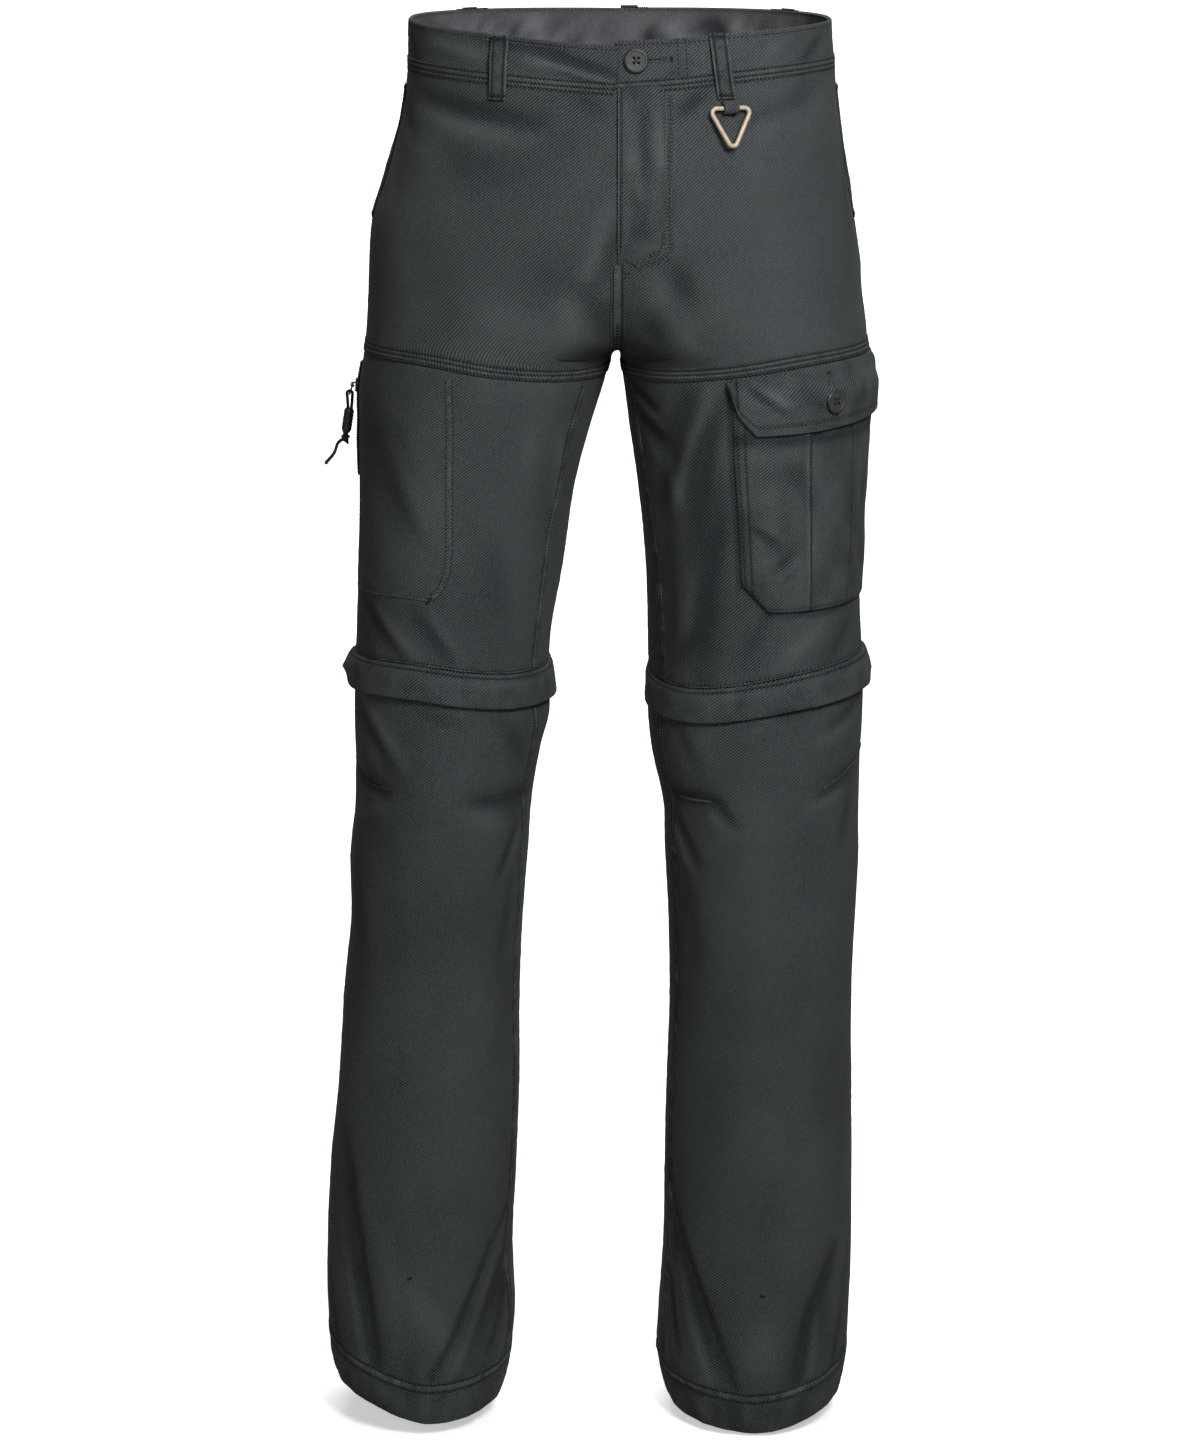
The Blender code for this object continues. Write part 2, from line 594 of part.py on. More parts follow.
def make_cargo_pocket(finish):
    """A patch pocket with a box pleat down its middle, puffed out between its sewn edges."""
    top_down, puff, pleat_step = 275.0, 3.4, 1.1
    turn, share = np.meshgrid(CARGO_TURNS, (0, 0.12, 0.35, 0.6, 0.85, 1))
    foot = straight_foot(CARGO_FOOT, turn)
    down = top_down + (foot - top_down) * share
    across = (turn - CARGO_TURNS[0]) / (CARGO_TURNS[-1] - CARGO_TURNS[0])
    swell = np.sin(math.pi * np.clip(across, 0, 1))**0.7 * np.sin(math.pi * (0.25 + 0.75 * share))
    outside = (turn < PLEAT_TURNS[0]) | (turn > PLEAT_TURNS[1])
    pleat = np.where(outside, pleat_step, 0.0) * (swell > 0.05)
    lift = 0.75 + puff * np.clip(swell, 0, 1) + pleat
    patch("cargo_pocket", LEFT, turn, down, lift, CLOTH, finish)


def cargo_flap_lift(turn, share):
    """How far the cargo flap's inner face stands off the leg."""
    first, last = CARGO_FLAP_TURNS[0], CARGO_FLAP_TURNS[-1]
    across = np.clip((turn - first) / (last - first), 0, 1)
    over_pocket = np.clip((share - 0.2) / 0.3, 0, 1)
    return 0.7 + share * 1.0 + over_pocket * (2.2 + 4.2 * np.sin(math.pi * across)**0.6)


def make_cargo_flap(cloth, button_finish):
    """The flap over the cargo pocket's mouth, and its button."""
    top = below_line(edge(THIGH_SEAM, LEFT), 2.0)

    def lift_at(turn, down):
        share = (down - top(turn)) / (straight_foot(CARGO_FLAP_FOOT, turn) - top(turn))
        return cargo_flap_lift(turn, share)

    turn, share = np.meshgrid(CARGO_FLAP_TURNS, (0, 0.35, 0.7, 1))
    down = top(turn) + (straight_foot(CARGO_FLAP_FOOT, turn) - top(turn)) * share
    patch("cargo_flap", LEFT, turn, down, lift_at(turn, down), CLOTH, cloth)

    button_turn, button_down, reach = 126.5, 269.0, 5.0
    turns = button_turn + np.array([0, -reach, reach, 0, 0])
    downs = button_down + np.array([0, 0, 0, -reach, reach])
    rest = cloth_point(LEFT, turns, downs, lift_at(turns, downs) + CLOTH)
    out = np.cross(rest[4] - rest[3], rest[2] - rest[1])
    out /= np.linalg.norm(out)
    beside = (rest[2] - rest[1]) / np.linalg.norm(rest[2] - rest[1])
    make_button("cargo_button", rest[0] - out * 0.3, out, beside, CARGO_BUTTON, button_finish)


def make_waist_button(finish):
    """The button at the waistband's overlap."""
    place, out, _, across = frame_at(LEFT, 94.6, 21.0, 0.5)
    make_button("waist_button", place, out, across, WAIST_BUTTON, finish)


def make_button(name, place, out, beside, diameter, finish):
    """A four-hole button's blank: a round disc with a raised rim."""
    radius = diameter / 2
    profile = [(0, 0), (radius * 0.82, 0), (radius, 1.0), (radius, 2.0), (radius * 0.9, 2.8),
               (radius * 0.72, 2.8), (radius * 0.6, 1.9), (0, 1.8)]
    turned(name, profile, place, out, beside, finish)


def make_pocket_zip(zip_finish, metal, cord_finish, grip_finish):
    """The zip pocket on the right thigh: zip, slider, pull loop, and its cord, grip and knot."""
    zip_top, zip_foot, zip_width, slider_down = 256.0, 342.0, 12.0, 274.0
    share = np.linspace(0, 1, 7)
    down = zip_top + (zip_foot - zip_top) * share
    turn = 180 + degrees_of(RIGHT, 180.0, down, zip_width)[:, None] * np.array([-0.5, 0, 0.5])
    patch("pocket_zip", RIGHT, turn, np.repeat(down[:, None], 3, axis=1), 0.5, 1.0, zip_finish)

    place, out, below, across = frame_at(RIGHT, 180.0, slider_down, 1.8)
    base, hook_middle, hook_in, hook_out = 1.5, 3.4, 1.1, 1.85
    arc = [math.radians(angle) for angle in range(180, -61, -24)]
    outline = [(0, -5), (0, 5), (base, 5), (base, -hook_in)]
    outline += [(hook_middle + hook_in * math.sin(a), hook_in * math.cos(a)) for a in arc]
    outline += [(hook_middle + hook_out * math.sin(a), hook_out * math.cos(a)) for a in arc[::-1]]
    outline += [(base, -hook_out), (base, -5)]
    extruded("pocket_slider", outline, place, out, below, across, 2.2, metal)

    pivot = place + out * hook_middle
    tilt = math.radians(15)
    fall = below * math.cos(tilt) + out * math.sin(tilt)
    pull_half, pull_length = 3.5, 7.5
    corners = [pivot - across * pull_half, pivot + across * pull_half,
               pivot + across * pull_half + fall * pull_length,
               pivot - across * pull_half + fall * pull_length]
    wire("pull_loop", rounded_loop(corners, 1.4), PULL_WIRE, metal, True, location=pivot)

    bar = pivot + fall * pull_length
    grip_top = np.array([-201.2, bar[1], -291.5])
    grip_foot = np.array([-204.2, bar[1], -310.5])
    tail_end = np.array([-219.5, bar[1], -333.5])
    lean = (grip_foot - grip_top) / np.linalg.norm(grip_foot - grip_top)
    beside = np.cross(lean, across)
    clear = PULL_WIRE / 2 + CORD / 2 + 0.2
    route = [grip_top - beside * 1.35 - lean * 0.5]
    for angle in range(0, 181, 30):
        a = math.radians(angle)
        route.append(bar + clear * (-beside * math.cos(a) - lean * math.sin(a)))
    route.append(grip_top + beside * 1.35 - lean * 0.5)
    wire("pull_cord_loop", smooth_path(route, 14), CORD, cord_finish, False)
    length = np.linalg.norm(grip_foot - grip_top)
    grip = [(0, 0), (2.7, 0), (3.6, 4), (3.9, length * 0.5), (3.6, length - 4),
            (2.6, length), (0, length)]
    turned("pull_grip", grip, grip_top, lean, across, grip_finish, steps=12)
    knot = [(0, 0.3), (2.2, 0.3), (3.3, 3), (3.4, 6), (2.3, 9), (0, 9.4)]
    turned("pull_knot", knot, grip_foot, lean, across, cord_finish, steps=12)
    for name, offset in (("pull_cord_tail_a", -1.5), ("pull_cord_tail_b", 1.5)):
        start = grip_foot + lean * 8.0 - beside * 4.4 + across * offset
        middle = (start + tail_end + across * offset) / 2 + beside * 1.5
        route = [start, middle, tail_end + across * offset * 1.3]
        wire(name, smooth_path(route, 7), CORD, cord_finish, False)


def make_ring(tape_finish, metal):
    """The triangular ring that hangs from the left front belt loop, and the tape it hangs on."""
    place, out, below, across = frame_at(LEFT, 117.6, 55.5, 0.0)
    tape_inner = RING_WIRE / 2 + 0.35
    tape_outer = tape_inner + 1.1
    pivot = place + out * (tape_outer + 0.6)
    tilt = math.radians(7)
    fall = below * math.cos(tilt) + out * math.sin(tilt)
    half_top, height = 16.3, 31.0
    corners = [pivot + across * half_top, pivot - across * half_top, pivot + fall * height]
    wire("ring", rounded_loop(corners, 3.4), RING_WIRE, metal, True, location=pivot)

    rise, half_width = 5.2, 5.6
    inner, outer = [(-0.2, -rise)], [(-1.3, -rise)]
    for angle in range(180, -1, -20):
        a = math.radians(angle)
        inner.append((tape_inner * math.cos(a), tape_inner * math.sin(a)))
        outer.append((tape_outer * math.cos(a), tape_outer * math.sin(a)))
    inner.append((0.15, -rise))
    outer.append((1.25, -rise))
    grids = []
    for line in (outer, inner):
        rail = [pivot + out * a + below * b for a, b in line]
        grids.append(np.array([[p - across * half_width, p + across * half_width] for p in rail]))
    shell("ring_tape", grids[0], grids[1], tape_finish)


def main():
    for old in list(bpy.data.objects):
        bpy.data.objects.remove(old)
    cloth = material("twill", (0.050, 0.056, 0.060), 0.9)
    trim = material("twill_trim", (0.045, 0.050, 0.054), 0.9)
    zip_finish = material("zip_tape", (0.020, 0.021, 0.023), 0.6)
    dark_metal = material("dark_metal", (0.050, 0.048, 0.048), 0.4, 0.9)
    brass = material("antique_brass", (0.36, 0.27, 0.17), 0.4, 0.9)
    resin = material("button_resin", (0.030, 0.034, 0.036), 0.45)
    cord = material("pull_cord", (0.030, 0.027, 0.025), 0.85)
    make_waistband(cloth)
    make_upper(cloth)
    make_knee_zips(cloth, zip_finish, dark_metal)
    make_lower(cloth)
    make_fly(cloth)
    make_belt_loops(trim)
    make_side_pockets(trim)
    make_cargo_pocket(cloth)
    make_cargo_flap(cloth, resin)
    make_waist_button(resin)
    make_pocket_zip(zip_finish, dark_metal, cord, resin)
    make_ring(trim, brass)


main()
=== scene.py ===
import math

import bpy
import numpy as np
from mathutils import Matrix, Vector


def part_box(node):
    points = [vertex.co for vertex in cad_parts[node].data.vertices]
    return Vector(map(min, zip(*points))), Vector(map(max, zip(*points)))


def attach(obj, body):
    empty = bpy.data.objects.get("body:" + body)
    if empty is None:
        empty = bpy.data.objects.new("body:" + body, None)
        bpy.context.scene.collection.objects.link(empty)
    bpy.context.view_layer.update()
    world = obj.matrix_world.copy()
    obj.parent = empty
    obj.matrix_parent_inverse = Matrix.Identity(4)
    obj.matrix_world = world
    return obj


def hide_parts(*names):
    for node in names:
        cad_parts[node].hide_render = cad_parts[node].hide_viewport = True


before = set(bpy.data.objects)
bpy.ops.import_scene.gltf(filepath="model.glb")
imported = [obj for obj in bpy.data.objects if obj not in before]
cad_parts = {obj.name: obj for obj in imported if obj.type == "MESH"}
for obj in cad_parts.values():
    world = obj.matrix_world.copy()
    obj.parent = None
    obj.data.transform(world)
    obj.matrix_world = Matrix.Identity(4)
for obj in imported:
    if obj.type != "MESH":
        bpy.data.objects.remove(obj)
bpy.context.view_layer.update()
mm = 0.001
right, left = -1, 1
sideWord = {right: "Right", left: "Left"}
nodeWord = {right: "right", left: "left"}

# camera and light, as in the photograph
camera = {"place": (-0.0125, -3.2, 0.27), "pitchDown": 14.107, "lens": 107.5, "frameHeight": 36.0}
bpy.ops.object.camera_add(location=camera["place"],
                          rotation=(math.radians(90 - camera["pitchDown"]), 0, 0))
view = bpy.context.object
view.data.lens = camera["lens"]
view.data.sensor_fit = "VERTICAL"
view.data.sensor_height = camera["frameHeight"]
bpy.context.scene.camera = view
bpy.context.scene.view_settings.view_transform = "Standard"

# the form of the cloth in millimetres: "down" is the depth below the waistband's top edge, and
# "turn" goes round one leg, 0 at the inseam, 90 in front, 180 at the side and 270 behind
# hips: down, right outer, left outer, the share of it that the inner edge reaches past the middle,
# front, back
hipSections = [
    (0, 154, 157, 1.00, 114, 114), (36, 155, 160, 0.98, 117, 117), (60, 157.6, 162.2, 0.93, 119, 119),
    (90, 164.2, 166.4, 0.86, 120, 123), (120, 172.6, 171.4, 0.76, 121, 128),
    (140, 180.2, 175.4, 0.68, 121, 131), (170, 184.5, 181, 0.53, 120, 134),
    (210, 186.5, 184, 0.28, 117, 135), (230, 188, 186.5, 0.13, 114, 133), (244, 189, 188, 0.00, 112, 131),
]
# legs: down, right outer, right inner, left outer, left inner, front, back, forward
legSections = [
    (255, 191, 5.2, 189, 3.0, 111, 129, 0), (270, 193, 9.5, 188.5, 5.6, 110, 126, 0),
    (300, 194, 19, 185.4, 9.4, 108, 120, 0), (345, 194.2, 31, 184, 16, 105, 113, 1),
    (410, 196, 40.8, 184.4, 22.5, 100, 106, 3), (470, 198.5, 51, 187, 24.2, 95, 101, 5),
    (505, 199.3, 51.5, 188, 24.8, 93, 99, 5), (524, 199.3, 51.4, 187.4, 24.4, 92, 98, 5),
    (550, 199.2, 57.8, 186.5, 26.8, 91, 96, 5), (600, 200.5, 66, 185.7, 36.8, 88, 94, 3),
    (630, 204.5, 68, 186.5, 37.8, 86, 94, 0), (694, 206, 73, 184.7, 41, 83, 94, -3),
    (760, 212, 75.6, 184.1, 42, 81, 92, -5), (825, 217, 76, 184.2, 40, 80, 90, -6),
    (892, 224, 78.7, 185.2, 38.7, 80, 88, -7), (958, 227.6, 82, 186.1, 38, 80, 86, -8),
    (1026, 228, 81, 184.7, 33.8, 80, 85, -8), (1048, 227, 83.5, 184, 33, 80, 84, -8),
    (1070, 223, 87, 181, 36, 78, 82, -8), (1100, 214, 94, 173, 44, 74, 78, -8),
]
squareness = 2.25
# lines round the body: turn, depth on the right side, depth on the left side
waistTop = [(88, 11, 7), (105, 8, 5.5), (122, 4, 2.5), (145, 1, 0.5), (180, 0, 0), (225, 1, 1),
            (272, 2.5, 2.5)]
waistSeam = [(88, 41, 40), (105, 38, 37), (122, 35, 33), (150, 32, 30), (180, 32, 31), (225, 35, 34),
             (272, 38, 38)]
thighSeam = [(0, 261, 261), (22, 259, 259), (54, 255, 255.5), (84, 250, 249.5), (121, 242, 242),
             (160, 243, 242), (180, 245, 244)]
kneeLine = [(0, 483, 489), (16, 482, 489.5), (52, 478, 489), (78, 473.5, 484), (115, 468, 475),
            (150, 471, 471), (180, 475, 472), (225, 478, 477), (270, 481, 482), (315, 483, 486),
            (360, 483, 489)]
hemLine = [(0, 1077, 1082), (22, 1080, 1086), (60, 1085, 1091), (88, 1085.5, 1095), (105, 1080, 1093),
           (127, 1071, 1087), (153, 1064, 1080), (180, 1060, 1077), (225, 1066, 1080), (270, 1074, 1085),
           (315, 1077, 1085), (360, 1077, 1082)]
# how far the covers over the knee zips stand off: turn, right leg, left leg
flapLift = [(0, 4.5, 1.4), (30, 3.4, 1.8), (90, 3.0, 3.0), (150, 4.0, 4.6), (166, 6.0, 6.4), (180, 11.0, 7.0),
            (194, 6.0, 6.2), (215, 4.0, 4.0), (270, 3.0, 3.0), (330, 3.6, 2.0), (360, 4.5, 1.4)]

# folds: side, from turn and down, to turn and down, width, height (a trough is below 0)
mainFolds = [
    (right, 142, 892, 119, 1031, 13, -3.2), (right, 14, 948, 60, 1022, 13, -3.8),
    (right, 92, 985, 68, 1030, 16, 2.6), (right, 172, 562, 119, 570, 10, -2.2),
    (right, 72, 574, 10, 586, 10, -2.4), (right, 146, 300, 118, 372, 18, -2.0),
    (right, 122, 318, 108, 392, 16, 1.4), (right, 225, 552, 300, 570, 16, -3.4),
    (right, 212, 600, 285, 622, 16, -2.6), (right, 235, 1002, 300, 1034, 15, -3.4),
    (right, 205, 950, 250, 992, 15, -2.6), (right, 315, 245, 250, 282, 18, -3.0),
    (left, 24, 936, 74, 1046, 14, -3.8), (left, 136, 956, 114, 1048, 14, -3.2),
    (left, 96, 1000, 88, 1050, 18, 2.4), (left, 16, 584, 64, 578, 10, -2.4),
    (left, 128, 566, 168, 556, 10, -2.2), (left, 30, 282, 62, 330, 18, -2.0),
    (left, 222, 560, 296, 576, 16, -3.2), (left, 230, 606, 300, 626, 16, -2.6),
    (left, 228, 1010, 292, 1046, 15, -3.2), (left, 214, 962, 262, 996, 15, -2.4),
    (left, 312, 246, 246, 280, 18, -3.0),
]
smallFolds = [
    # hips and waistband
    (right, 152, 50, 111, 65, 7, -1.7), (right, 150, 64, 112, 78, 8, 1.2),
    (right, 170, 56, 150, 84, 6, -1.2), (right, 160, 74, 138, 96, 9, 0.7),
    (right, 140, 88, 118, 104, 10, -0.5), (right, 168, 92, 158, 128, 7, 0.8),
    (right, 112, 14, 90, 32, 3.6, -2.0), (right, 114, 21, 91, 37, 3.2, 1.7),
    (right, 108, 27, 94, 38, 2.6, -1.5), (right, 130, 8, 106, 15, 4, -1.3),
    (right, 148, 12, 126, 20, 4, 1.1), (right, 166, 8, 158, 26, 4, -1.3),
    (right, 100, 44, 92, 60, 5, -0.7), (right, 84, 128, 80, 176, 5, 0.9),
    (right, 80, 138, 74, 184, 5, -0.9), (right, 80, 182, 58, 219, 5, -0.9),
    (right, 84, 190, 66, 226, 5, 0.8), (right, 66, 196, 50, 232, 5, -0.8),
    (right, 100, 160, 82, 200, 13, -0.5), (right, 60, 232, 30, 250, 6, -0.9),
    (right, 112, 196, 84, 220, 11, 0.4), (left, 96, 46, 91, 112, 3, -1.2),
    (left, 93, 50, 88, 118, 3, 1.0), (left, 99, 58, 96, 104, 3, 0.8), (left, 90, 118, 84, 150, 4, -0.9),
    (left, 98, 112, 93, 140, 4, -0.6), (left, 91, 168, 88, 196, 7, -1.1),
    (left, 84, 176, 76, 200, 6, 0.7), (left, 72, 206, 62, 230, 6, -1.0), (left, 80, 212, 74, 236, 5, 0.6),
    (left, 54, 232, 32, 248, 6, -0.9), (left, 150, 44, 122, 68, 7, -0.9),
    (left, 138, 54, 120, 80, 8, 0.6), (left, 112, 42, 104, 60, 4, -1.3),
    (left, 156, 10, 144, 26, 4, -1.2), (left, 138, 8, 128, 24, 4, 0.6), (left, 108, 24, 101, 36, 3, -0.7),
    (left, 168, 96, 160, 150, 7, -0.9), (left, 172, 150, 160, 214, 8, 0.8),
    # thighs
    (right, 128, 292, 106, 340, 7, -0.7), (right, 134, 330, 104, 384, 7, -0.6),
    (right, 122, 300, 100, 350, 6, 0.5), (right, 148, 432, 118, 463, 7, -1.4),
    (right, 140, 428, 108, 464, 6, 1.0), (right, 114, 428, 88, 465, 7, -1.2),
    (right, 104, 432, 84, 462, 6, 0.8), (right, 44, 300, 36, 352, 6, 0.8),
    (right, 170, 300, 158, 402, 7, -1.0), (right, 78, 372, 60, 440, 13, -0.5),
    (right, 64, 282, 58, 330, 9, 0.5), (right, 160, 404, 134, 414, 5, 0.6),
    (left, 20, 262, 42, 280, 4, -1.6), (left, 24, 272, 46, 294, 4, 1.1),
    (left, 28, 284, 48, 314, 6, -1.4), (left, 34, 300, 52, 346, 7, 0.8), (left, 72, 260, 48, 352, 6, 1.5),
    (left, 60, 268, 36, 356, 7, -1.3), (left, 80, 262, 60, 340, 7, -1.0),
    (left, 78, 330, 60, 424, 9, -0.9), (left, 68, 352, 50, 444, 8, 0.8),
    (left, 66, 430, 44, 470, 8, -1.0), (left, 124, 440, 100, 470, 8, 1.0),
    (left, 150, 436, 128, 466, 7, -0.8), (left, 96, 430, 80, 466, 7, -0.7),
    (left, 64, 262, 60, 480, 15, -1.6), (left, 44, 300, 40, 470, 10, -1.0),
    (left, 80.3, 250, 80.6, 300, 2.6, -1.6), (left, 80.4, 290, 80.6, 410, 2.4, -1.5),
    (left, 81, 404, 95, 429.5, 2.4, -1.2), (left, 93, 430, 150, 430.5, 2.4, -1.3),
    # knees
    (right, 153, 508, 122, 556, 7, -1.3), (right, 146, 502, 116, 546, 7, 1.0),
    (right, 168, 566, 126, 574, 4, -1.5), (right, 70, 576, 18, 582, 4, -0.9),
    (right, 33, 604, 48, 638, 5, -1.3), (right, 26, 604, 42, 640, 5, 0.9),
    (right, 112, 500, 84, 516, 6, -0.6), (right, 150, 640, 140, 720, 11, -0.7),
    (right, 76, 586, 44, 600, 7, 0.7), (right, 130, 584, 160, 600, 7, 0.7),
    (right, 60, 512, 40, 548, 7, -0.7), (right, 36, 650, 44, 720, 8, -0.7),
    (left, 25, 578, 64, 576, 4, -1.3), (left, 62, 577, 74, 594, 4, -1.5),
    (left, 56, 584, 66, 602, 5, 0.8), (left, 32, 596, 51, 634, 5, -1.3), (left, 24, 598, 44, 640, 5, 0.9),
    (left, 123, 574, 160, 553, 4, -1.1), (left, 116, 582, 140, 572, 5, 0.7),
    (left, 130, 520, 156, 504, 6, -1.1), (left, 122, 532, 150, 518, 6, 0.8),
    (left, 98, 508, 116, 502, 5, -0.7), (left, 84, 526, 96, 510, 6, 0.6),
    (left, 150, 574, 138, 612, 7, -0.9), (left, 44, 520, 58, 556, 7, -0.7),
    (left, 40, 646, 46, 716, 8, -0.6),
    # shins and hems
    (right, 145, 856, 127, 942, 8, -1.0), (right, 128, 938, 115, 1046, 6, -1.6),
    (right, 138, 950, 124, 1040, 5, 1.0), (right, 12, 904, 42, 943, 4, -1.1),
    (right, 42, 943, 82, 1048, 3.4, -1.9), (right, 34, 952, 70, 1048, 5, 1.3),
    (right, 21, 976, 44, 1032, 4, -1.6), (right, 14, 986, 34, 1044, 4, 0.8),
    (right, 98, 1028, 92, 1052, 7, -0.7), (right, 160, 960, 148, 1036, 7, -1.0),
    (right, 110, 930, 104, 1010, 12, 0.6), (right, 168, 1022, 152, 1034, 4, -1.1),
    (left, 21, 896, 42, 951, 4, -1.1), (left, 42, 951, 79, 1056, 3.4, -1.9),
    (left, 32, 958, 64, 1054, 5, 1.3), (left, 24, 974, 40, 1034, 4, -1.6),
    (left, 16, 990, 30, 1050, 4, 0.8), (left, 140, 946, 121, 1002, 6, -1.5),
    (left, 122, 998, 115, 1052, 5, -1.6), (left, 128, 990, 124, 1050, 5, 1.1),
    (left, 150, 1000, 140, 1060, 5, -1.1), (left, 160, 930, 150, 990, 7, -0.8),
    (left, 168, 1030, 152, 1044, 4, -1.1),
    # behind
    (right, 330, 262, 262, 300, 9, -1.4), (right, 335, 272, 268, 318, 8, 0.9),
    (right, 300, 420, 240, 440, 10, -1.0), (right, 222, 520, 290, 540, 8, -1.3),
    (right, 226, 536, 296, 556, 7, 1.0), (right, 216, 584, 280, 600, 8, -1.3),
    (right, 240, 640, 300, 664, 10, -1.1), (right, 232, 980, 286, 1010, 8, -1.3),
    (right, 240, 1016, 292, 1042, 7, 0.9), (right, 250, 60, 232, 130, 14, -0.8),
    (right, 330, 150, 318, 220, 8, -1.0), (right, 212, 24, 236, 34, 4, -0.8),
    (left, 328, 264, 260, 304, 9, -1.4), (left, 334, 276, 264, 322, 8, 0.9),
    (left, 296, 424, 236, 446, 10, -1.0), (left, 220, 524, 288, 546, 8, -1.3),
    (left, 224, 542, 292, 562, 7, 1.0), (left, 214, 590, 276, 604, 8, -1.3),
    (left, 236, 644, 298, 668, 10, -1.1), (left, 230, 988, 282, 1020, 8, -1.3),
    (left, 236, 1026, 290, 1050, 7, 0.9), (left, 248, 64, 230, 128, 14, -0.8),
    (left, 328, 154, 316, 222, 8, -1.0), (left, 208, 22, 234, 34, 4, -0.8),
]
mmPerDegree = 1.6

hipPart = [(d, ro, -share * ro, lo, -share * lo, f, b, 0) for d, ro, lo, share, f, b in hipSections]
form = np.array(hipPart + legSections, float)


def smoothValue(places, values, at):
    slopes = np.gradient(values, places)
    at = np.asarray(at, float)
    index = np.clip(np.searchsorted(places, at) - 1, 0, len(places) - 2)
    step = places[index + 1] - places[index]
    t = np.clip((at - places[index]) / step, 0, 1)
    start = (2 * t**3 - 3 * t**2 + 1) * values[index] + (t**3 - 2 * t**2 + t) * step * slopes[index]
    end = (3 * t**2 - 2 * t**3) * values[index + 1] + (t**3 - t**2) * step * slopes[index + 1]
    return start + end


def ridge(at, width, middle=0.0):
    # 1 along a line, falling off softly to both sides of it
    return np.exp(-((at - middle) / width)**2)


def lengthsAlong(points):
    # the way along a path to each of its points
    return np.concatenate([[0], np.cumsum(np.linalg.norm(np.diff(points, axis=0), axis=1))])


def unit(vectors):
    return vectors / np.linalg.norm(vectors, axis=-1, keepdims=True)


def lineOf(rows, side):
    table = np.array(rows, float)
    depths = table[:, 1 if side == right else 2]
    return lambda turn: smoothValue(table[:, 0], depths, np.clip(turn, table[0, 0], table[-1, 0]))


def sectionAt(side, down):
    outer, inner = (1, 2) if side == right else (3, 4)
    values = [smoothValue(form[:, 0], form[:, column], down) for column in (outer, inner, 5, 6, 7)]
    return (values[0] + values[1]) / 2, (values[0] - values[1]) / 2, values[2], values[3], values[4]


def rawPoint(side, turn, down):
    middle, halfWidth, front, back, forward = sectionAt(side, down)
    angle = np.radians(turn)
    reach = (np.abs(np.cos(angle))**squareness + np.abs(np.sin(angle))**squareness)**(-1 / squareness)
    depth = np.where(np.sin(angle) > 0, front, back)
    x = side * (middle - halfWidth * reach * np.cos(angle))
    return np.stack([x, -forward - depth * reach * np.sin(angle), -down + 0 * x], -1)


def outwardAt(side, turn, down):
    along = rawPoint(side, turn + 0.5, down) - rawPoint(side, turn - 0.5, down)
    below = rawPoint(side, turn, down + 1.0) - rawPoint(side, turn, down - 1.0)
    return -side * unit(np.cross(along, below))


def foldsAt(folds, side, turn, down):
    height = np.zeros(np.broadcast(turn, down).shape)
    for fold in folds:
        if fold[0] != side:
            continue
        turnA, downA, turnB, downB, width, rise = fold[1:]
        runTurn, runDown = (turnB - turnA) * mmPerDegree, downB - downA
        across, below = (turn - turnA) * mmPerDegree, down - downA
        along = np.clip((across * runTurn + below * runDown) / (runTurn**2 + runDown**2), 0, 1)
        distance = np.hypot(across - along * runTurn, below - along * runDown)
        height = height + rise * ridge(distance, width) * np.sin(math.pi * (0.15 + 0.7 * along))
    return height


latticeSize = 256
lattice = np.random.default_rng(7).uniform(-1, 1, (latticeSize, latticeSize))


def softNoise(x, y):
    # smooth noise between -1 and 1 on a lattice of one unit
    x, y = np.broadcast_arrays(np.asarray(x, float), np.asarray(y, float))
    column, row = np.floor(x).astype(int), np.floor(y).astype(int)
    u, v = x - column, y - row
    u, v = u * u * (3 - 2 * u), v * v * (3 - 2 * v)
    corner = [[lattice[(row + j) % latticeSize, (column + i) % latticeSize] for i in (0, 1)]
              for j in (0, 1)]
    upper, lower = (pair[0] * (1 - u) + pair[1] * u for pair in corner)
    return upper * (1 - v) + lower * v


# the front edge of the inner leg's seam: down, turn
inseamTurn = {right: [(240, 34), (271, 38), (344, 36), (398, 38), (463, 35), (509, 33), (573, 26), (700, 22),
                      (1090, 20)],
              left: [(240, 22), (310, 24.5), (388, 28.5), (457, 31), (510, 30), (573, 29), (700, 24),
                     (1090, 20)]}


def inseamAt(side, down):
    table = np.array(inseamTurn[side], float)
    return smoothValue(table[:, 0], table[:, 1], np.clip(down, table[0, 0], table[-1, 0]))


# small gathers beside each sewn line: reach of the gather, length of its waves and height
gathers = {"waist": (9, 11, 0.20), "thigh": (12, 10, 0.34), "knee": (10, 12, 0.30), "hem": (11, 13, 0.55),
           "inseam": (9, 9, 0.34), "side": (8, 15, 0.25)}


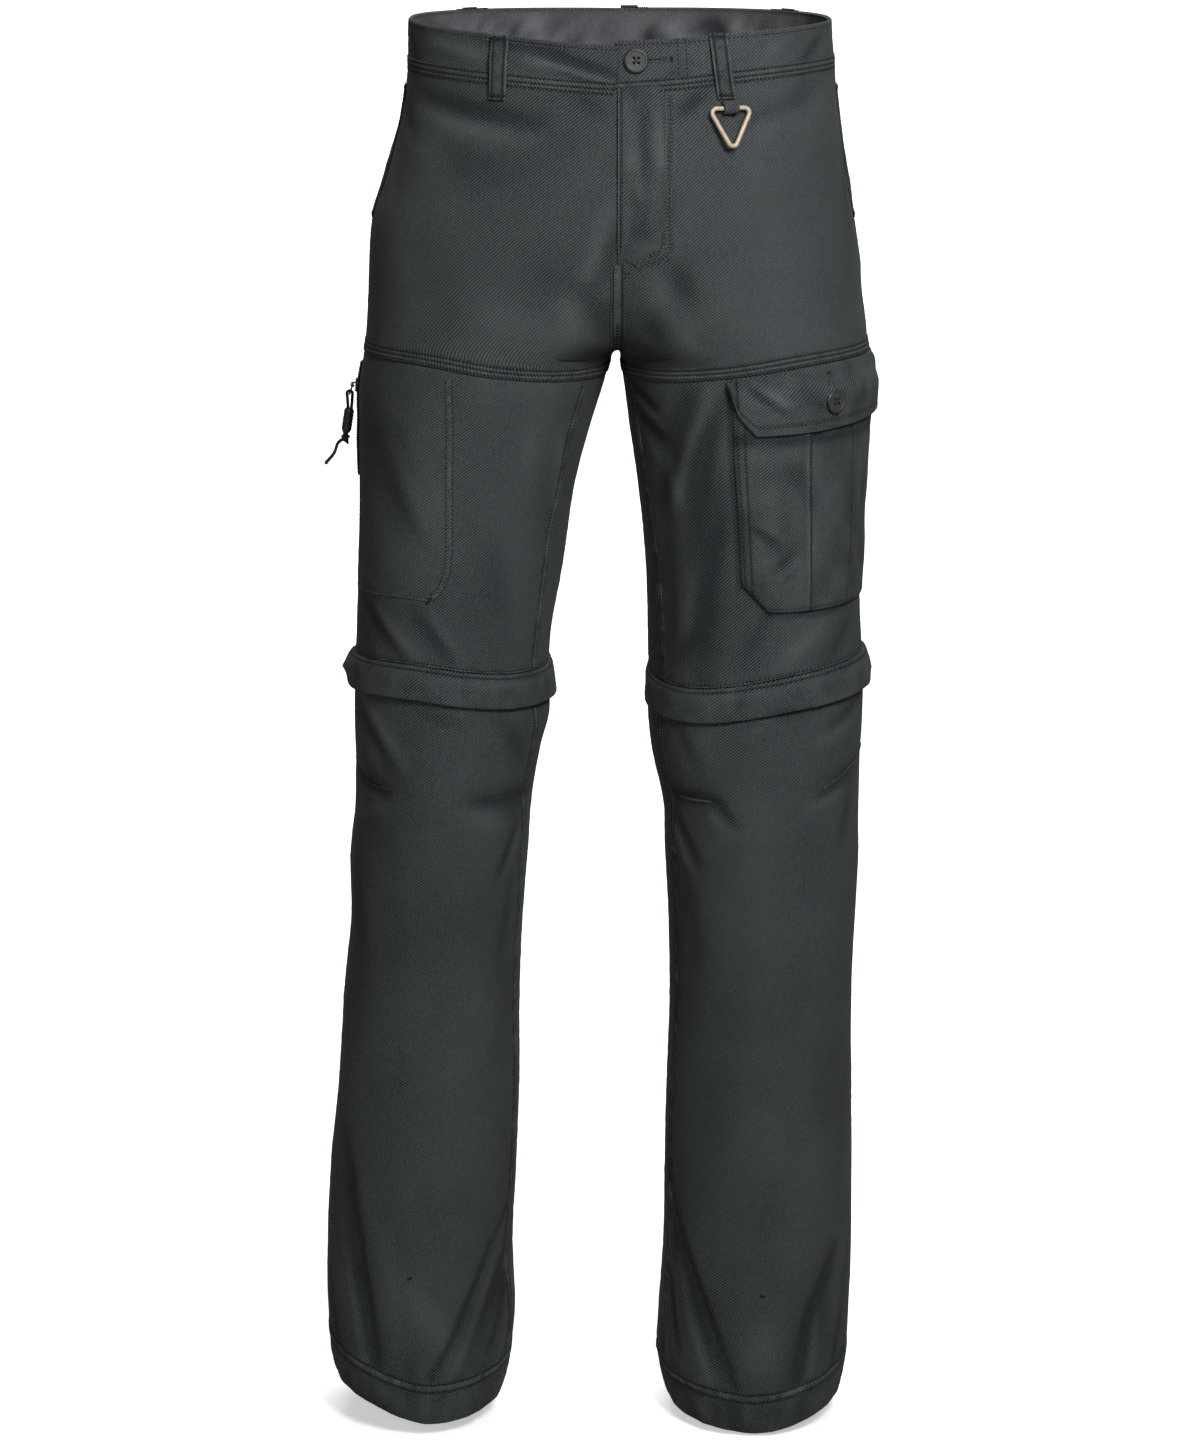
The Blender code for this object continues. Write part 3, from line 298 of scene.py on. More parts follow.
def gathersAt(side, turn, down):
    way = turn * mmPerDegree
    height = np.zeros(np.broadcast(turn, down).shape)
    hemStitch = lineOf(hemLine, side)(turn) - 31
    for number, (name, line) in enumerate((("waist", lineOf(waistSeam, side)(turn) + 4),
                                           ("thigh", lineOf(thighSeam, side)(turn)),
                                           ("knee", lineOf(kneeLine, side)(turn)), ("hem", hemStitch))):
        reach, wave, rise = gathers[name]
        distance = down - line
        only = np.where(turn < 182, 1.0, 0.0) if name == "thigh" else 1.0
        shape = softNoise(way / wave + 17 * number + 60 * (side > 0), 0.3 + down / 45)
        height = height + only * rise * ridge(distance, reach) * shape
    legPart = np.clip((down - 236) / 20, 0, 1)
    for number, (name, line) in enumerate((("inseam", inseamAt(side, down)), ("side", 180.0))):
        reach, wave, rise = gathers[name]
        distance = (turn - line) * mmPerDegree
        only = legPart if name == "inseam" else 1.0
        shape = softNoise(down / wave + 31 * number + 90 * (side > 0), 0.7 + way / 40)
        height = height + only * rise * ridge(distance, reach) * shape
    # the turned hem ripples between its stitching and its edge
    inHem = np.clip((down - hemStitch) / 10, 0, 1)
    ripple = softNoise(way / 15 + 40 * (side > 0), down / 22) + 0.5 * softNoise(way / 8, down / 18 + 9)
    height = height + inHem * 0.75 * ripple
    return height


def looseness(side, turn, down):
    # the soft and broad unevenness of worn cloth
    way = turn * mmPerDegree
    shift = 130 * (side > 0)
    broad = softNoise(way / 46 + shift, down / 75) * 0.8
    middle = softNoise((way + 0.5 * down) / 21 + shift, (down - 0.4 * way) / 42) * 0.3
    # the pattern closes on itself behind the inseam
    fade = np.clip(np.minimum(turn, 360 - turn) / 18, 0, 1)
    return (broad + middle) * fade


def clothHeight(side, turn, down):
    return (foldsAt(mainFolds, side, turn, down) + foldsAt(smallFolds, side, turn, down)
            + gathersAt(side, turn, down) + looseness(side, turn, down))


def clothPoint(side, turn, down, lift):
    turn, down = np.broadcast_arrays(np.asarray(turn, float), np.asarray(down, float))
    height = clothHeight(side, turn, down) + lift
    return rawPoint(side, turn, down) + outwardAt(side, turn, down) * height[..., None]


def centreTurn(side, down, gap):
    # where the front of one half comes within a gap of the middle
    middle, halfWidth, _, _, _ = sectionAt(side, down)
    share = np.clip((middle - gap) / halfWidth, -1, 1)
    steep = np.maximum(np.abs(share), 1e-6)**-squareness - 1
    angle = np.degrees(np.arctan(np.maximum(steep, 0)**(1 / squareness)))
    return np.where(share > 0, angle, 180 - angle)


def degreesOf(side, turn, down, length):
    step = rawPoint(side, turn + 0.5, down) - rawPoint(side, turn - 0.5, down)
    return length / np.linalg.norm(step, axis=-1)


# materials

def node(tree, kind, values=(), **options):
    made = tree.nodes.new(kind)
    for name, value in options.items():
        setattr(made, name, value)
    for name, value in dict(values).items():
        made.inputs[name].default_value = value
    return made


def mathNode(tree, operation, first, second=None, third=None):
    made = tree.nodes.new("ShaderNodeMath")
    made.operation = operation
    for index, value in enumerate((first, second, third)):
        if value is None:
            continue
        if isinstance(value, (int, float)):
            made.inputs[index].default_value = value
        else:
            tree.links.new(value, made.inputs[index])
    return made.outputs[0]


def startMaterial(name, settings):
    made = bpy.data.materials.new(name)
    made.use_nodes = True
    shader = made.node_tree.nodes["Principled BSDF"]
    for socket, value in settings.items():
        shader.inputs[socket].default_value = value
    return made, made.node_tree, shader


def mixColours(tree, factor, low, high):
    made = node(tree, "ShaderNodeMix", data_type="RGBA")
    made.inputs["A"].default_value = (*low, 1)
    made.inputs["B"].default_value = (*high, 1)
    tree.links.new(factor, made.inputs["Factor"])
    return made.outputs["Result"]


def waveLines(tree, coordinates, angle, pitch, distortion):
    turned = node(tree, "ShaderNodeMapping", {"Rotation": (0, 0, math.radians(angle))})
    tree.links.new(coordinates, turned.inputs["Vector"])
    wave = node(tree, "ShaderNodeTexWave", {"Scale": 0.1 * math.pi / pitch, "Distortion": distortion,
                                            "Detail": 1.0, "Detail Scale": 0.4})
    tree.links.new(turned.outputs[0], wave.inputs["Vector"])
    return wave.outputs["Fac"]


def noiseOf(tree, coordinates, scale, detail, stretch=(1, 1, 1)):
    mapped = node(tree, "ShaderNodeMapping", {"Scale": stretch})
    tree.links.new(coordinates, mapped.inputs["Vector"])
    noise = node(tree, "ShaderNodeTexNoise", {"Scale": scale, "Detail": detail, "Roughness": 0.6})
    tree.links.new(mapped.outputs[0], noise.inputs["Vector"])
    return noise.outputs["Fac"]


def addBump(tree, shader, height, strength, distance):
    bump = node(tree, "ShaderNodeBump", {"Strength": strength, "Distance": distance})
    tree.links.new(height, bump.inputs["Height"])
    tree.links.new(bump.outputs[0], shader.inputs["Normal"])


def objectPlace(tree):
    return node(tree, "ShaderNodeTexCoord").outputs["Object"]


def clothPlace(tree):
    return node(tree, "ShaderNodeUVMap", uv_map="cloth").outputs[0]


def colourBy(tree, shader, tone, low, high):
    tree.links.new(mixColours(tree, tone, low, high), shader.inputs["Base Color"])


def addAround(tree, tone, pattern, share):
    # a pattern darkens below its middle and lightens above it
    return mathNode(tree, "MULTIPLY_ADD", mathNode(tree, "SUBTRACT", pattern, 0.5), share, tone)


def withinOne(tree, tone):
    return mathNode(tree, "MINIMUM", mathNode(tree, "MAXIMUM", tone, 0.0), 1.0)


twill = {"low": (0.012, 0.0150, 0.0170), "high": (0.0890, 0.0985, 0.1020), "pitch": 0.0019, "yarn": 0.0015,
         "angle": -50.0, "weaveShare": 0.80, "foldShare": 0.32, "middle": 0.43}


def twillMaterial(name, low, high, weaveShare=twill["weaveShare"]):
    made, tree, shader = startMaterial(name, {"Roughness": 0.95, "Sheen Weight": 0.02, "Sheen Roughness": 0.6,
                                              "Specular IOR Level": 0.12})
    flat = clothPlace(tree)
    place = objectPlace(tree)
    ribs = waveLines(tree, flat, twill["angle"], twill["pitch"], 1.2)
    yarns = waveLines(tree, flat, twill["angle"] + 90, twill["yarn"], 1.6)
    slubs = noiseOf(tree, flat, 420, 2, (1, 0.6, 1))
    grain = noiseOf(tree, place, 1200, 2)
    mottle = noiseOf(tree, place, 14, 5)
    weave = mathNode(tree, "MULTIPLY_ADD", ribs, 0.72, mathNode(tree, "MULTIPLY", yarns, 0.28))
    folds = node(tree, "ShaderNodeAttribute", attribute_name="foldShade").outputs["Fac"]
    tone = twill["middle"]
    for pattern, share in ((weave, weaveShare), (slubs, 0.34), (grain, 0.75), (mottle, 0.36)):
        tone = addAround(tree, tone, pattern, share)
    # painted shade in the troughs of folds and painted highlight on their ridges, from the foldShade
    # attribute
    tone = mathNode(tree, "MULTIPLY_ADD", folds, twill["foldShare"], tone)
    colourBy(tree, shader, withinOne(tree, tone), low, high)
    height = mathNode(tree, "MULTIPLY_ADD", grain, 0.5, weave)
    addBump(tree, shader, height, 0.7, 0.00028)
    return made


def threadMaterial(name, low, high):
    made, tree, shader = startMaterial(name, {"Roughness": 0.85, "Sheen Weight": 0.02,
                                              "Specular IOR Level": 0.15})
    place = objectPlace(tree)
    fibre = noiseOf(tree, place, 2600, 2)
    colourBy(tree, shader, fibre, low, high)
    addBump(tree, shader, fibre, 0.5, 0.0001)
    return made


def tapeMaterial(name, low, high, pitch):
    made, tree, shader = startMaterial(name, {"Roughness": 0.8, "Specular IOR Level": 0.3})
    flat = clothPlace(tree)
    ribs = waveLines(tree, flat, 0, pitch, 0.3)
    cross = waveLines(tree, flat, 90, pitch * 1.4, 0.5)
    weave = mathNode(tree, "MULTIPLY", ribs, cross)
    colourBy(tree, shader, weave, low, high)
    addBump(tree, shader, weave, 0.6, 0.0002)
    return made


def metalMaterial(name, low, high, roughness, metallic, wear):
    # brushed and a little worn: fine scratches in the gloss and a mottled tone
    made, tree, shader = startMaterial(name, {"Metallic": metallic})
    place = objectPlace(tree)
    scratches = noiseOf(tree, place, 900, 3, (1, 1, 0.12))
    patches = noiseOf(tree, place, 160, 4)
    colourBy(tree, shader, withinOne(tree, addAround(tree, patches, scratches, wear)), low, high)
    gloss = mathNode(tree, "MULTIPLY_ADD", scratches, 0.25, roughness - 0.12)
    tree.links.new(gloss, shader.inputs["Roughness"])
    addBump(tree, shader, scratches, 0.25, 0.00008)
    return made


def resinMaterial(name, low, high, roughness):
    made, tree, shader = startMaterial(name, {"Specular IOR Level": 0.45})
    place = objectPlace(tree)
    cloud = noiseOf(tree, place, 220, 4)
    colourBy(tree, shader, cloud, low, high)
    fine = noiseOf(tree, place, 2400, 2)
    gloss = mathNode(tree, "MULTIPLY_ADD", fine, 0.2, roughness - 0.1)
    tree.links.new(gloss, shader.inputs["Roughness"])
    addBump(tree, shader, fine, 0.2, 0.00006)
    return made


clothMaterial = twillMaterial("graphiteTwill", twill["low"], twill["high"])
trimMaterial = twillMaterial("trimTwill", (0.012, 0.0150, 0.0170), (0.092, 0.100, 0.1035), 0.5)
facingMaterial = twillMaterial("waistFacing", (0.030, 0.030, 0.035), (0.150, 0.148, 0.160), 0.16)
# the thread's colour is darkened to near black as painted shade for the grooves its rows sink into
threadDark = threadMaterial("sewingThread", (0.004, 0.005, 0.0055), (0.022, 0.025, 0.027))
zipTape = tapeMaterial("zipTape", (0.008, 0.009, 0.010), (0.030, 0.032, 0.034), 0.0011)
zipCoilAndButtonShadow = resinMaterial("zipCoilAndButtonShadow", (0.010, 0.011, 0.012), (0.028, 0.030, 0.032), 0.42)
darkMetal = metalMaterial("darkLacqueredMetal", (0.030, 0.029, 0.029), (0.11, 0.105, 0.10), 0.38, 0.85, 0.6)
antiqueBrass = metalMaterial("antiqueBrass", (0.34, 0.265, 0.185), (0.60, 0.50, 0.375), 0.56, 0.35, 0.8)
buttonResin = resinMaterial("buttonResin", (0.016, 0.018, 0.0195), (0.048, 0.052, 0.055), 0.5)
gripRubber = resinMaterial("gripRubber", (0.010, 0.010, 0.010), (0.028, 0.027, 0.026), 0.5)
cordMaterial = threadMaterial("pullCord", (0.010, 0.0095, 0.009), (0.042, 0.038, 0.035))
print("materials made")


# making cloth

def deselectAll():
    bpy.ops.object.select_all(action="DESELECT")


def makeActive(piece):
    deselectAll()
    piece.select_set(True)
    bpy.context.view_layer.objects.active = piece


def applyModifier(piece, kind, **options):
    makeActive(piece)
    modifier = piece.modifiers.new(kind.lower(), kind)
    for name, value in options.items():
        setattr(modifier, name, value)
    bpy.ops.object.modifier_apply(modifier=modifier.name)


def cleanAll(piece, merge=0.0, fill=False, outward=True):
    # merges doubles, closes holes and turns the faces outwards
    makeActive(piece)
    bpy.ops.object.mode_set(mode="EDIT")
    bpy.ops.mesh.select_all(action="SELECT")
    if merge:
        bpy.ops.mesh.remove_doubles(threshold=merge * mm)
    if fill:
        bpy.ops.mesh.fill_holes(sides=0)
        bpy.ops.mesh.select_all(action="SELECT")
    if outward:
        bpy.ops.mesh.normals_make_consistent(inside=False)
    bpy.ops.object.mode_set(mode="OBJECT")


def takeShape(one):
    # corners and faces of a modelled piece, which is then removed
    shape = np.array([v.co for v in one.data.vertices])
    faces = [list(p.vertices) for p in one.data.polygons]
    bpy.data.objects.remove(one)
    return shape, faces


def joinedCopies(name, points, faces, material, angle):
    # one mesh of many copies of a shape, from the corners of each copy
    count = points.shape[1]
    allFaces = [[i * count + v for v in face] for i in range(len(points)) for face in faces]
    mesh = bpy.data.meshes.new(name)
    mesh.from_pydata((points.reshape(-1, 3) * mm).tolist(), [], allFaces)
    piece = bpy.data.objects.new(name, mesh)
    bpy.context.scene.collection.objects.link(piece)
    cleanAll(piece)
    finish(piece, material, angle)
    isHard(piece)


def steps(length, size, nearEdge):
    # places from 0 to 1 along a length, close together at each end
    near = np.array(nearEdge) / length
    inner = np.linspace(near[-1], 1 - near[-1], max(2, int(round(length / size)) + 1))
    return np.concatenate([[0], near[:-1], inner, 1 - near[:-1][::-1], [1]])


def gridPiece(name, rows, columns):
    # a flat grid whose vertices know their column and row
    deselectAll()
    bpy.ops.mesh.primitive_grid_add(x_subdivisions=columns - 1, y_subdivisions=rows - 1, size=1)
    piece = bpy.context.object
    piece.name = piece.data.name = name
    flat = np.zeros(len(piece.data.vertices) * 3)
    piece.data.vertices.foreach_get("co", flat)
    flat = flat.reshape(-1, 3)
    column = np.rint((flat[:, 0] + 0.5) * (columns - 1)).astype(int)
    row = np.rint((0.5 - flat[:, 1]) * (rows - 1)).astype(int)
    return piece, column, row


def setShape(piece, points, uv, shade=None):
    mesh = piece.data
    mesh.vertices.foreach_set("co", (points * mm).ravel())
    while mesh.uv_layers:
        mesh.uv_layers.remove(mesh.uv_layers[0])
    layer = mesh.uv_layers.new(name="cloth")
    corner = np.zeros(len(mesh.loops), int)
    mesh.loops.foreach_get("vertex_index", corner)
    layer.data.foreach_set("uv", (uv[corner] * mm).ravel())
    tone = mesh.attributes.new("foldShade", "FLOAT", "POINT")
    tone.data.foreach_set("value", np.zeros(len(points)) if shade is None else shade)
    mesh.update()


def clothPiece(name, side, turn, down, lift, thickness, material, closed=False, shadeScale=2.2,
               flipped=False, ownShade=0.0):
    # turn, down and lift are grids, row by row; ownShade is painted light above 0 and painted shade below
    turn, down = np.broadcast_arrays(turn, down)
    rows, columns = turn.shape
    piece, column, row = gridPiece(name, rows, columns)
    places = clothPoint(side, turn, down, lift)
    across = np.linalg.norm(np.diff(rawPoint(side, turn, down), axis=1), axis=2)
    along = np.linalg.norm(np.diff(rawPoint(side, turn, down), axis=0), axis=2)
    u = np.concatenate([np.zeros((rows, 1)), np.cumsum(across, axis=1)], axis=1)
    u = (u - u[:, [columns // 2]]) * side
    # painted shade in the troughs of folds, gathers and loose cloth, and painted light on their ridges
    height = (foldsAt(mainFolds, side, turn, down) * 0.7 + foldsAt(smallFolds, side, turn, down) * 1.9
              + gathersAt(side, turn, down) * 1.8 + looseness(side, turn, down) * 0.7)
    shade = np.clip(np.clip(height / shadeScale, -1.1, 1.1) + ownShade, -1.7, 1.3)
    uv = np.stack([u[row, column], down[row, column]], -1)
    setShape(piece, places[row, column], uv, shade[row, column])
    if (side == right) != flipped:
        piece.data.flip_normals()
    if closed:
        cleanAll(piece, merge=0.02, outward=False)
    applyModifier(piece, "SOLIDIFY", thickness=thickness * mm, offset=-1)
    finish(piece, material)
    # widest, longest and area, as laid flat
    areas = (across[:-1] + across[1:]) / 2 * (along[:, :-1] + along[:, 1:]) / 2
    width, length = float(across.sum(1).max()), float(along.sum(0).max())
    piece["cut"] = (width * mm, length * mm, float(areas.sum()) * mm * mm)
    return piece


def finish(piece, material, angle=50):
    piece.data.materials.clear()
    piece.data.materials.append(material)
    piece.data.shade_smooth()
    piece.data.set_sharp_from_angle(angle=math.radians(angle))


def isCloth(piece, nodes=(), body="trousers"):
    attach(piece, body)
    if nodes:
        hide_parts(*nodes)


def isHard(piece, nodes=(), body="trousers"):
    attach(piece, body)
    if nodes:
        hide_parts(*nodes)


def tubeMesh(name, path, radius, sides, material, closed=False):
    # a round wire or cord as a mesh, through a curve with a bevel
    curve = bpy.data.curves.new(name, "CURVE")
    curve.dimensions = "3D"
    curve.bevel_depth = radius * mm
    curve.bevel_resolution = max(0, sides // 4 - 1)
    curve.use_fill_caps = not closed
    spline = curve.splines.new("POLY")
    spline.points.add(len(path) - 1)
    for point, place in zip(spline.points, path):
        point.co = (*(np.asarray(place) * mm), 1)
    spline.use_cyclic_u = closed
    piece = bpy.data.objects.new(name, curve)
    bpy.context.scene.collection.objects.link(piece)
    makeActive(piece)
    bpy.ops.object.convert(target="MESH")
    piece = bpy.context.object
    finish(piece, material)
    return piece


# sewn lines: a path on the cloth, and rows of stitches and felled bands along it

def pathOn(side, points, step=1.6, smooth=True):
    # turn and down at even steps along a path of (turn, down)
    points = np.asarray(points, float)
    places = rawPoint(side, points[:, 0], points[:, 1])
    lengths = lengthsAlong(places)
    fine = np.linspace(0, lengths[-1], max(8, int(lengths[-1] / 1.0)))
    if smooth and len(points) > 2:
        turn, down = (smoothValue(lengths, points[:, i], fine) for i in (0, 1))
    else:
        turn, down = (np.interp(fine, lengths, points[:, i]) for i in (0, 1))
    places = rawPoint(side, turn, down)
    lengths = lengthsAlong(places)
    even = np.arange(0, lengths[-1], step)
    return np.interp(even, lengths, turn), np.interp(even, lengths, down)


def sideways(side, turn, down, offset):
    # the place at an offset across a path, to the left of its way as seen from outside on the left leg
    perDegree = 1 / degreesOf(side, turn, down, 1.0)
    along = np.stack([np.gradient(turn) * perDegree, np.gradient(down)], -1)
    along /= np.maximum(np.linalg.norm(along, axis=-1, keepdims=True), 1e-9)
    return turn + along[:, 1] * offset / perDegree, down - along[:, 0] * offset


stitch = {"length": 2.4, "pitch": 3.3, "width": 0.95, "height": 0.45, "sunk": -0.05}
stitchPlaces = []


def liftOf(lift, turn, down):
    # a lift is a height in millimetres, or a function that gives it at each place
    return lift(turn, down) if callable(lift) else lift


def above(lift, extra):
    return lambda turn, down: liftOf(lift, turn, down) + extra


def sewRow(side, points, lift=0.0, offset=0.0, pitch=stitch["pitch"]):
    # notes where each stitch of a row lies
    turn, down = sideways(side, *pathOn(side, points, 0.8, smooth=False), offset)
    addStitches(clothPoint(side, turn, down, liftOf(lift, turn, down)), outwardAt(side, turn, down), pitch)


def addStitches(places, normals, pitch):
    lengths = lengthsAlong(places)
    middle = np.arange(pitch / 2, lengths[-1] - pitch / 4, pitch)
    half = stitch["length"] / 2 * pitch / stitch["pitch"]

    def at(where, values):
        return np.stack([np.interp(where, lengths, values[:, i]) for i in range(3)], -1)

    first, last, normal = at(middle - half, places), at(middle + half, places), at(middle, normals)
    stitchPlaces.append((first, last, normal))


# part of the garment, and its highest and lowest stitch in millimetres below the waistband's edge
stitchParts = [("stitchesHips", -10, 236), ("stitchesThighs", 236, 520), ("stitchesShins", 520, 1100)]


def buildStitches():
    # one stitch is modelled, then copied to each place
    deselectAll()
    bpy.ops.mesh.primitive_uv_sphere_add(segments=6, ring_count=3, radius=0.5)
    one = bpy.context.object
    one.scale = (stitch["width"], stitch["height"], 1.0)
    bpy.ops.object.transform_apply(location=False, rotation=False, scale=True)
    shape, faces = takeShape(one)
    # its shoulders lie close to its ends
    shape[:, 2] = np.sign(shape[:, 2]) * np.where(np.abs(shape[:, 2]) > 0.45, 0.5, 0.36)
    first, last, normal = (np.concatenate([row[i] for row in stitchPlaces]) for i in range(3))
    length = np.linalg.norm(last - first, axis=1, keepdims=True)
    along = unit(last - first)
    across = unit(np.cross(normal, along))
    up = np.cross(along, across)
    middle = (first + last) / 2 + up * stitch["sunk"]
    points = (middle[:, None] + across[:, None] * shape[None, :, :1] + up[:, None] * shape[None, :, 1:2]
              + along[:, None] * shape[None, :, 2:] * (length * 1.02)[:, None])
    for name, top, foot in stitchParts:
        chosen = points[(-middle[:, 2] >= top) & (-middle[:, 2] < foot)]
        joinedCopies(name, chosen, faces, threadDark, 80)
        print(name, len(chosen), "stitches")


groove = {"depth": 0.55, "reach": 0.85}


def bandProfile(halfWidth, rowsAt, raised, edgeDrop, base=-0.7):
    # offsets and heights across a felled seam, with a groove at each row of stitches
    offsets = {-halfWidth, -halfWidth + 0.45, halfWidth - 0.45, halfWidth}
    for row in rowsAt:
        offsets |= {row - 1.3, row - 0.75, row - 0.25, row + 0.25, row + 0.75, row + 1.3}
    offsets = np.array(sorted(offsets))
    offsets = offsets[np.concatenate([[True], np.diff(offsets) > 0.2])]
    gaps = [(a + b) / 2 for a, b in zip(offsets[:-1], offsets[1:]) if b - a > 1.6]
    offsets = np.array(sorted([*offsets, *gaps]))
    height = np.interp(offsets, [-halfWidth, -halfWidth + 0.45, halfWidth - 0.45, halfWidth],
                       [base, raised + edgeDrop[0], raised + edgeDrop[1], base])
    for row in rowsAt:
        height = height - groove["depth"] * ridge(offsets, groove["reach"], row) * (height > 0)
    return offsets, height


def seamBand(name, side, points, rowsAt, halfWidth, raised=0.55, edgeDrop=(0, 0), lift=0.0, pucker=0.3,
             smooth=True):
    turn, down = pathOn(side, points, 1.6, smooth)
    offsets, heights = bandProfile(halfWidth, rowsAt, raised, edgeDrop)
    seed = nameNumber(name) % 97
    distance = np.arange(len(turn)) * 1.6
    ripple = softNoise(distance / 4.6 + seed, 0.5) + 0.6 * softNoise(distance / 8.5 + seed, 3.5)
    stitchBeat = np.cos(2 * math.pi * distance / stitch["pitch"])
    grids = []
    for offset, height in zip(offsets, heights):
        t, d = sideways(side, turn, down, offset)
        rise = liftOf(lift, t, d)
        loose = np.clip((height + 0.1) / max(raised, 0.1), 0, 1)
        inGroove = max([ridge(offset, groove["reach"], row) for row in rowsAt] or [0])
        lumps = (height + 1.2 * pucker * loose * ripple * (1 - 0.5 * inGroove)
                 + 0.16 * inGroove * stitchBeat * (height > 0))
        # painted shade in the stitch grooves, darkest at each stitch, and along both edges of the band;
        # painted light and shade on the puckers
        atEdge = 1.0 if abs(offset) > halfWidth - 0.5 else 0.0
        tone = (0.45 + 1.1 * min(pucker / 0.3, 1) * ripple * (1 - inGroove)
                - inGroove * (1.7 - 0.7 * stitchBeat) - 1.2 * atEdge)
        grids.append((t, d, lumps + rise, tone))
    for edge in (0, -1):
        t, d, rise, tone = grids[edge]
        grids.append((t, d, rise - 0.35, tone))
    order = list(range(len(offsets))) + [len(offsets) + 1, len(offsets)] + [0]
    turnGrid, downGrid, riseGrid, toneGrid = (np.stack([grids[i][k] for i in order], -1) for k in range(4))
    piece, column, row = gridPiece(name, *turnGrid.shape)
    places = clothPoint(side, turnGrid, downGrid, riseGrid)
    shade = np.clip(toneGrid, -1.8, 1.6)
    uv = np.stack([np.interp(column, range(len(offsets)), offsets), distance[row] * side], -1)
    setShape(piece, places[row, column], uv, shade[row, column])
    closeBand(piece)
    for offset in rowsAt:
        sewRow(side, np.stack([turn, down], -1), above(lift, raised - 0.28), offset)


def closeBand(piece):
    cleanAll(piece, merge=0.005, fill=True)
    finish(piece, clothMaterial, 60)
    isHard(piece)


def sewnRow(name, side, points, lift=0.0):
    # one row of stitches with the cloth drawn in along it
    seamBand(name, side, points, (0.0,), 2.2, raised=0.34, edgeDrop=(-0.22, -0.22), lift=lift, pucker=0.2)


def nameNumber(name):
    # a fixed number for a name, the same in every run
    return sum((i + 1) * ord(letter) for i, letter in enumerate(name))


# panels
# the size of a panel's faces, how close they lie to its edges, and the width they are worked out for
cell = {"across": 2.6, "down": 3.4, "near": (0.9, 2.2), "hipWidth": 250.0, "legWidth": 235.0,
        "turnedIn": 1.2}


def panelGrid(start, end, top, bottom, columns, rows, firstTurn):
    # the edges follow each other, so a few rounds settle them
    across, share = np.meshgrid(columns, rows)
    turn = np.full(across.shape, firstTurn)
    for _ in range(12):
        down = top(turn) + (bottom(turn) - top(turn)) * share
        turn = start(down) + (end(down) - start(down)) * across
    return across, share, turn, down


def panelPiece(name, side, start, end, top, bottom, thickness, roll):
    inFront, atSide = 90.0, 120.0
    onLeg = (float(top(inFront)) + float(bottom(inFront))) / 2 > 250
    columns = steps(cell["legWidth"] if onLeg else cell["hipWidth"], cell["across"], cell["near"])
    rows = steps(float(bottom(atSide) - top(atSide)), cell["down"], cell["near"])
    firstTurn = 225.0 if start is backSide else 135.0
    across, share, turn, down = panelGrid(start, end, top, bottom, columns, rows, firstTurn)
    # cloth turns in a little where it is sewn to its neighbour
    toSide = np.minimum(across, 1 - across) * cell["legWidth"]
    toEnd = np.minimum(share, 1 - share) * cell["legWidth"]
    lift = -roll * (ridge(toSide, cell["turnedIn"]) + ridge(toEnd, cell["turnedIn"]))
    return clothPiece(name, side, turn, down, lift, thickness, clothMaterial)


seamGap, halfSeamTurn = 0.3, 0.12


def innerStart(side):
    # the right half runs a little past the middle, so that no light shows between the two
    past = -0.8 if side == right else seamGap / 2
    return lambda down: np.maximum(centreTurn(side, down, past), halfSeamTurn)


def innerEnd(side):
    return lambda down: 360 - innerStart(side)(down)


def frontSide(down):
    return 180 - halfSeamTurn + 0 * down


def backSide(down):
    return 180 + halfSeamTurn + 0 * down


def shifted(line, distance):
    return lambda turn: line(turn) + distance


panels = {"cloth": 1.5, "waistband": 2.4, "hem": 2.6, "kneeZip": 11.4}


# name, CAD node, upper line, lower line and what it hangs from
panelTable = [
    ("waistbandFront", "waistband_front_", "top", "seam", "waistband_back"),
    ("front", "front_", "belowSeam", "thigh", "waistbandFront"),
    ("thighFront", "thigh_front_", "belowThigh", "knee", "front"),
    ("back", "back_", "belowSeam", "knee", "waistband_back"),
    ("shinFront", "lower_front_", "shinTop", "hem", "thighFront"),
    ("shinBack", "lower_back_", "shinTop", "hem", "back"),
]


def makePanels():
    for side in (right, left):
        seam, thigh, knee = (lineOf(rows, side) for rows in (waistSeam, thighSeam, kneeLine))
        lines = {"top": lineOf(waistTop, side), "seam": seam, "belowSeam": shifted(seam, seamGap),
                 "thigh": thigh, "belowThigh": shifted(thigh, seamGap), "knee": knee,
                 "shinTop": shifted(knee, panels["kneeZip"] + 3 * seamGap), "hem": lineOf(hemLine, side)}
        made = {}
        for name, cadNode, upper, lower, holder in panelTable:
            behind = name in ("back", "shinBack")
            start, end = (backSide, innerEnd(side)) if behind else (innerStart(side), frontSide)
            thickness, roll = (panels["waistband"], 0.9) if upper == "top" else (panels["cloth"], 0.5)
            made[name] = panelPiece(name + sideWord[side], side, start, end, lines[upper], lines[lower],
                                    thickness, roll)
            isCloth(made[name], nodes=[cadNode + nodeWord[side]])
        print("panels", sideWord[side])


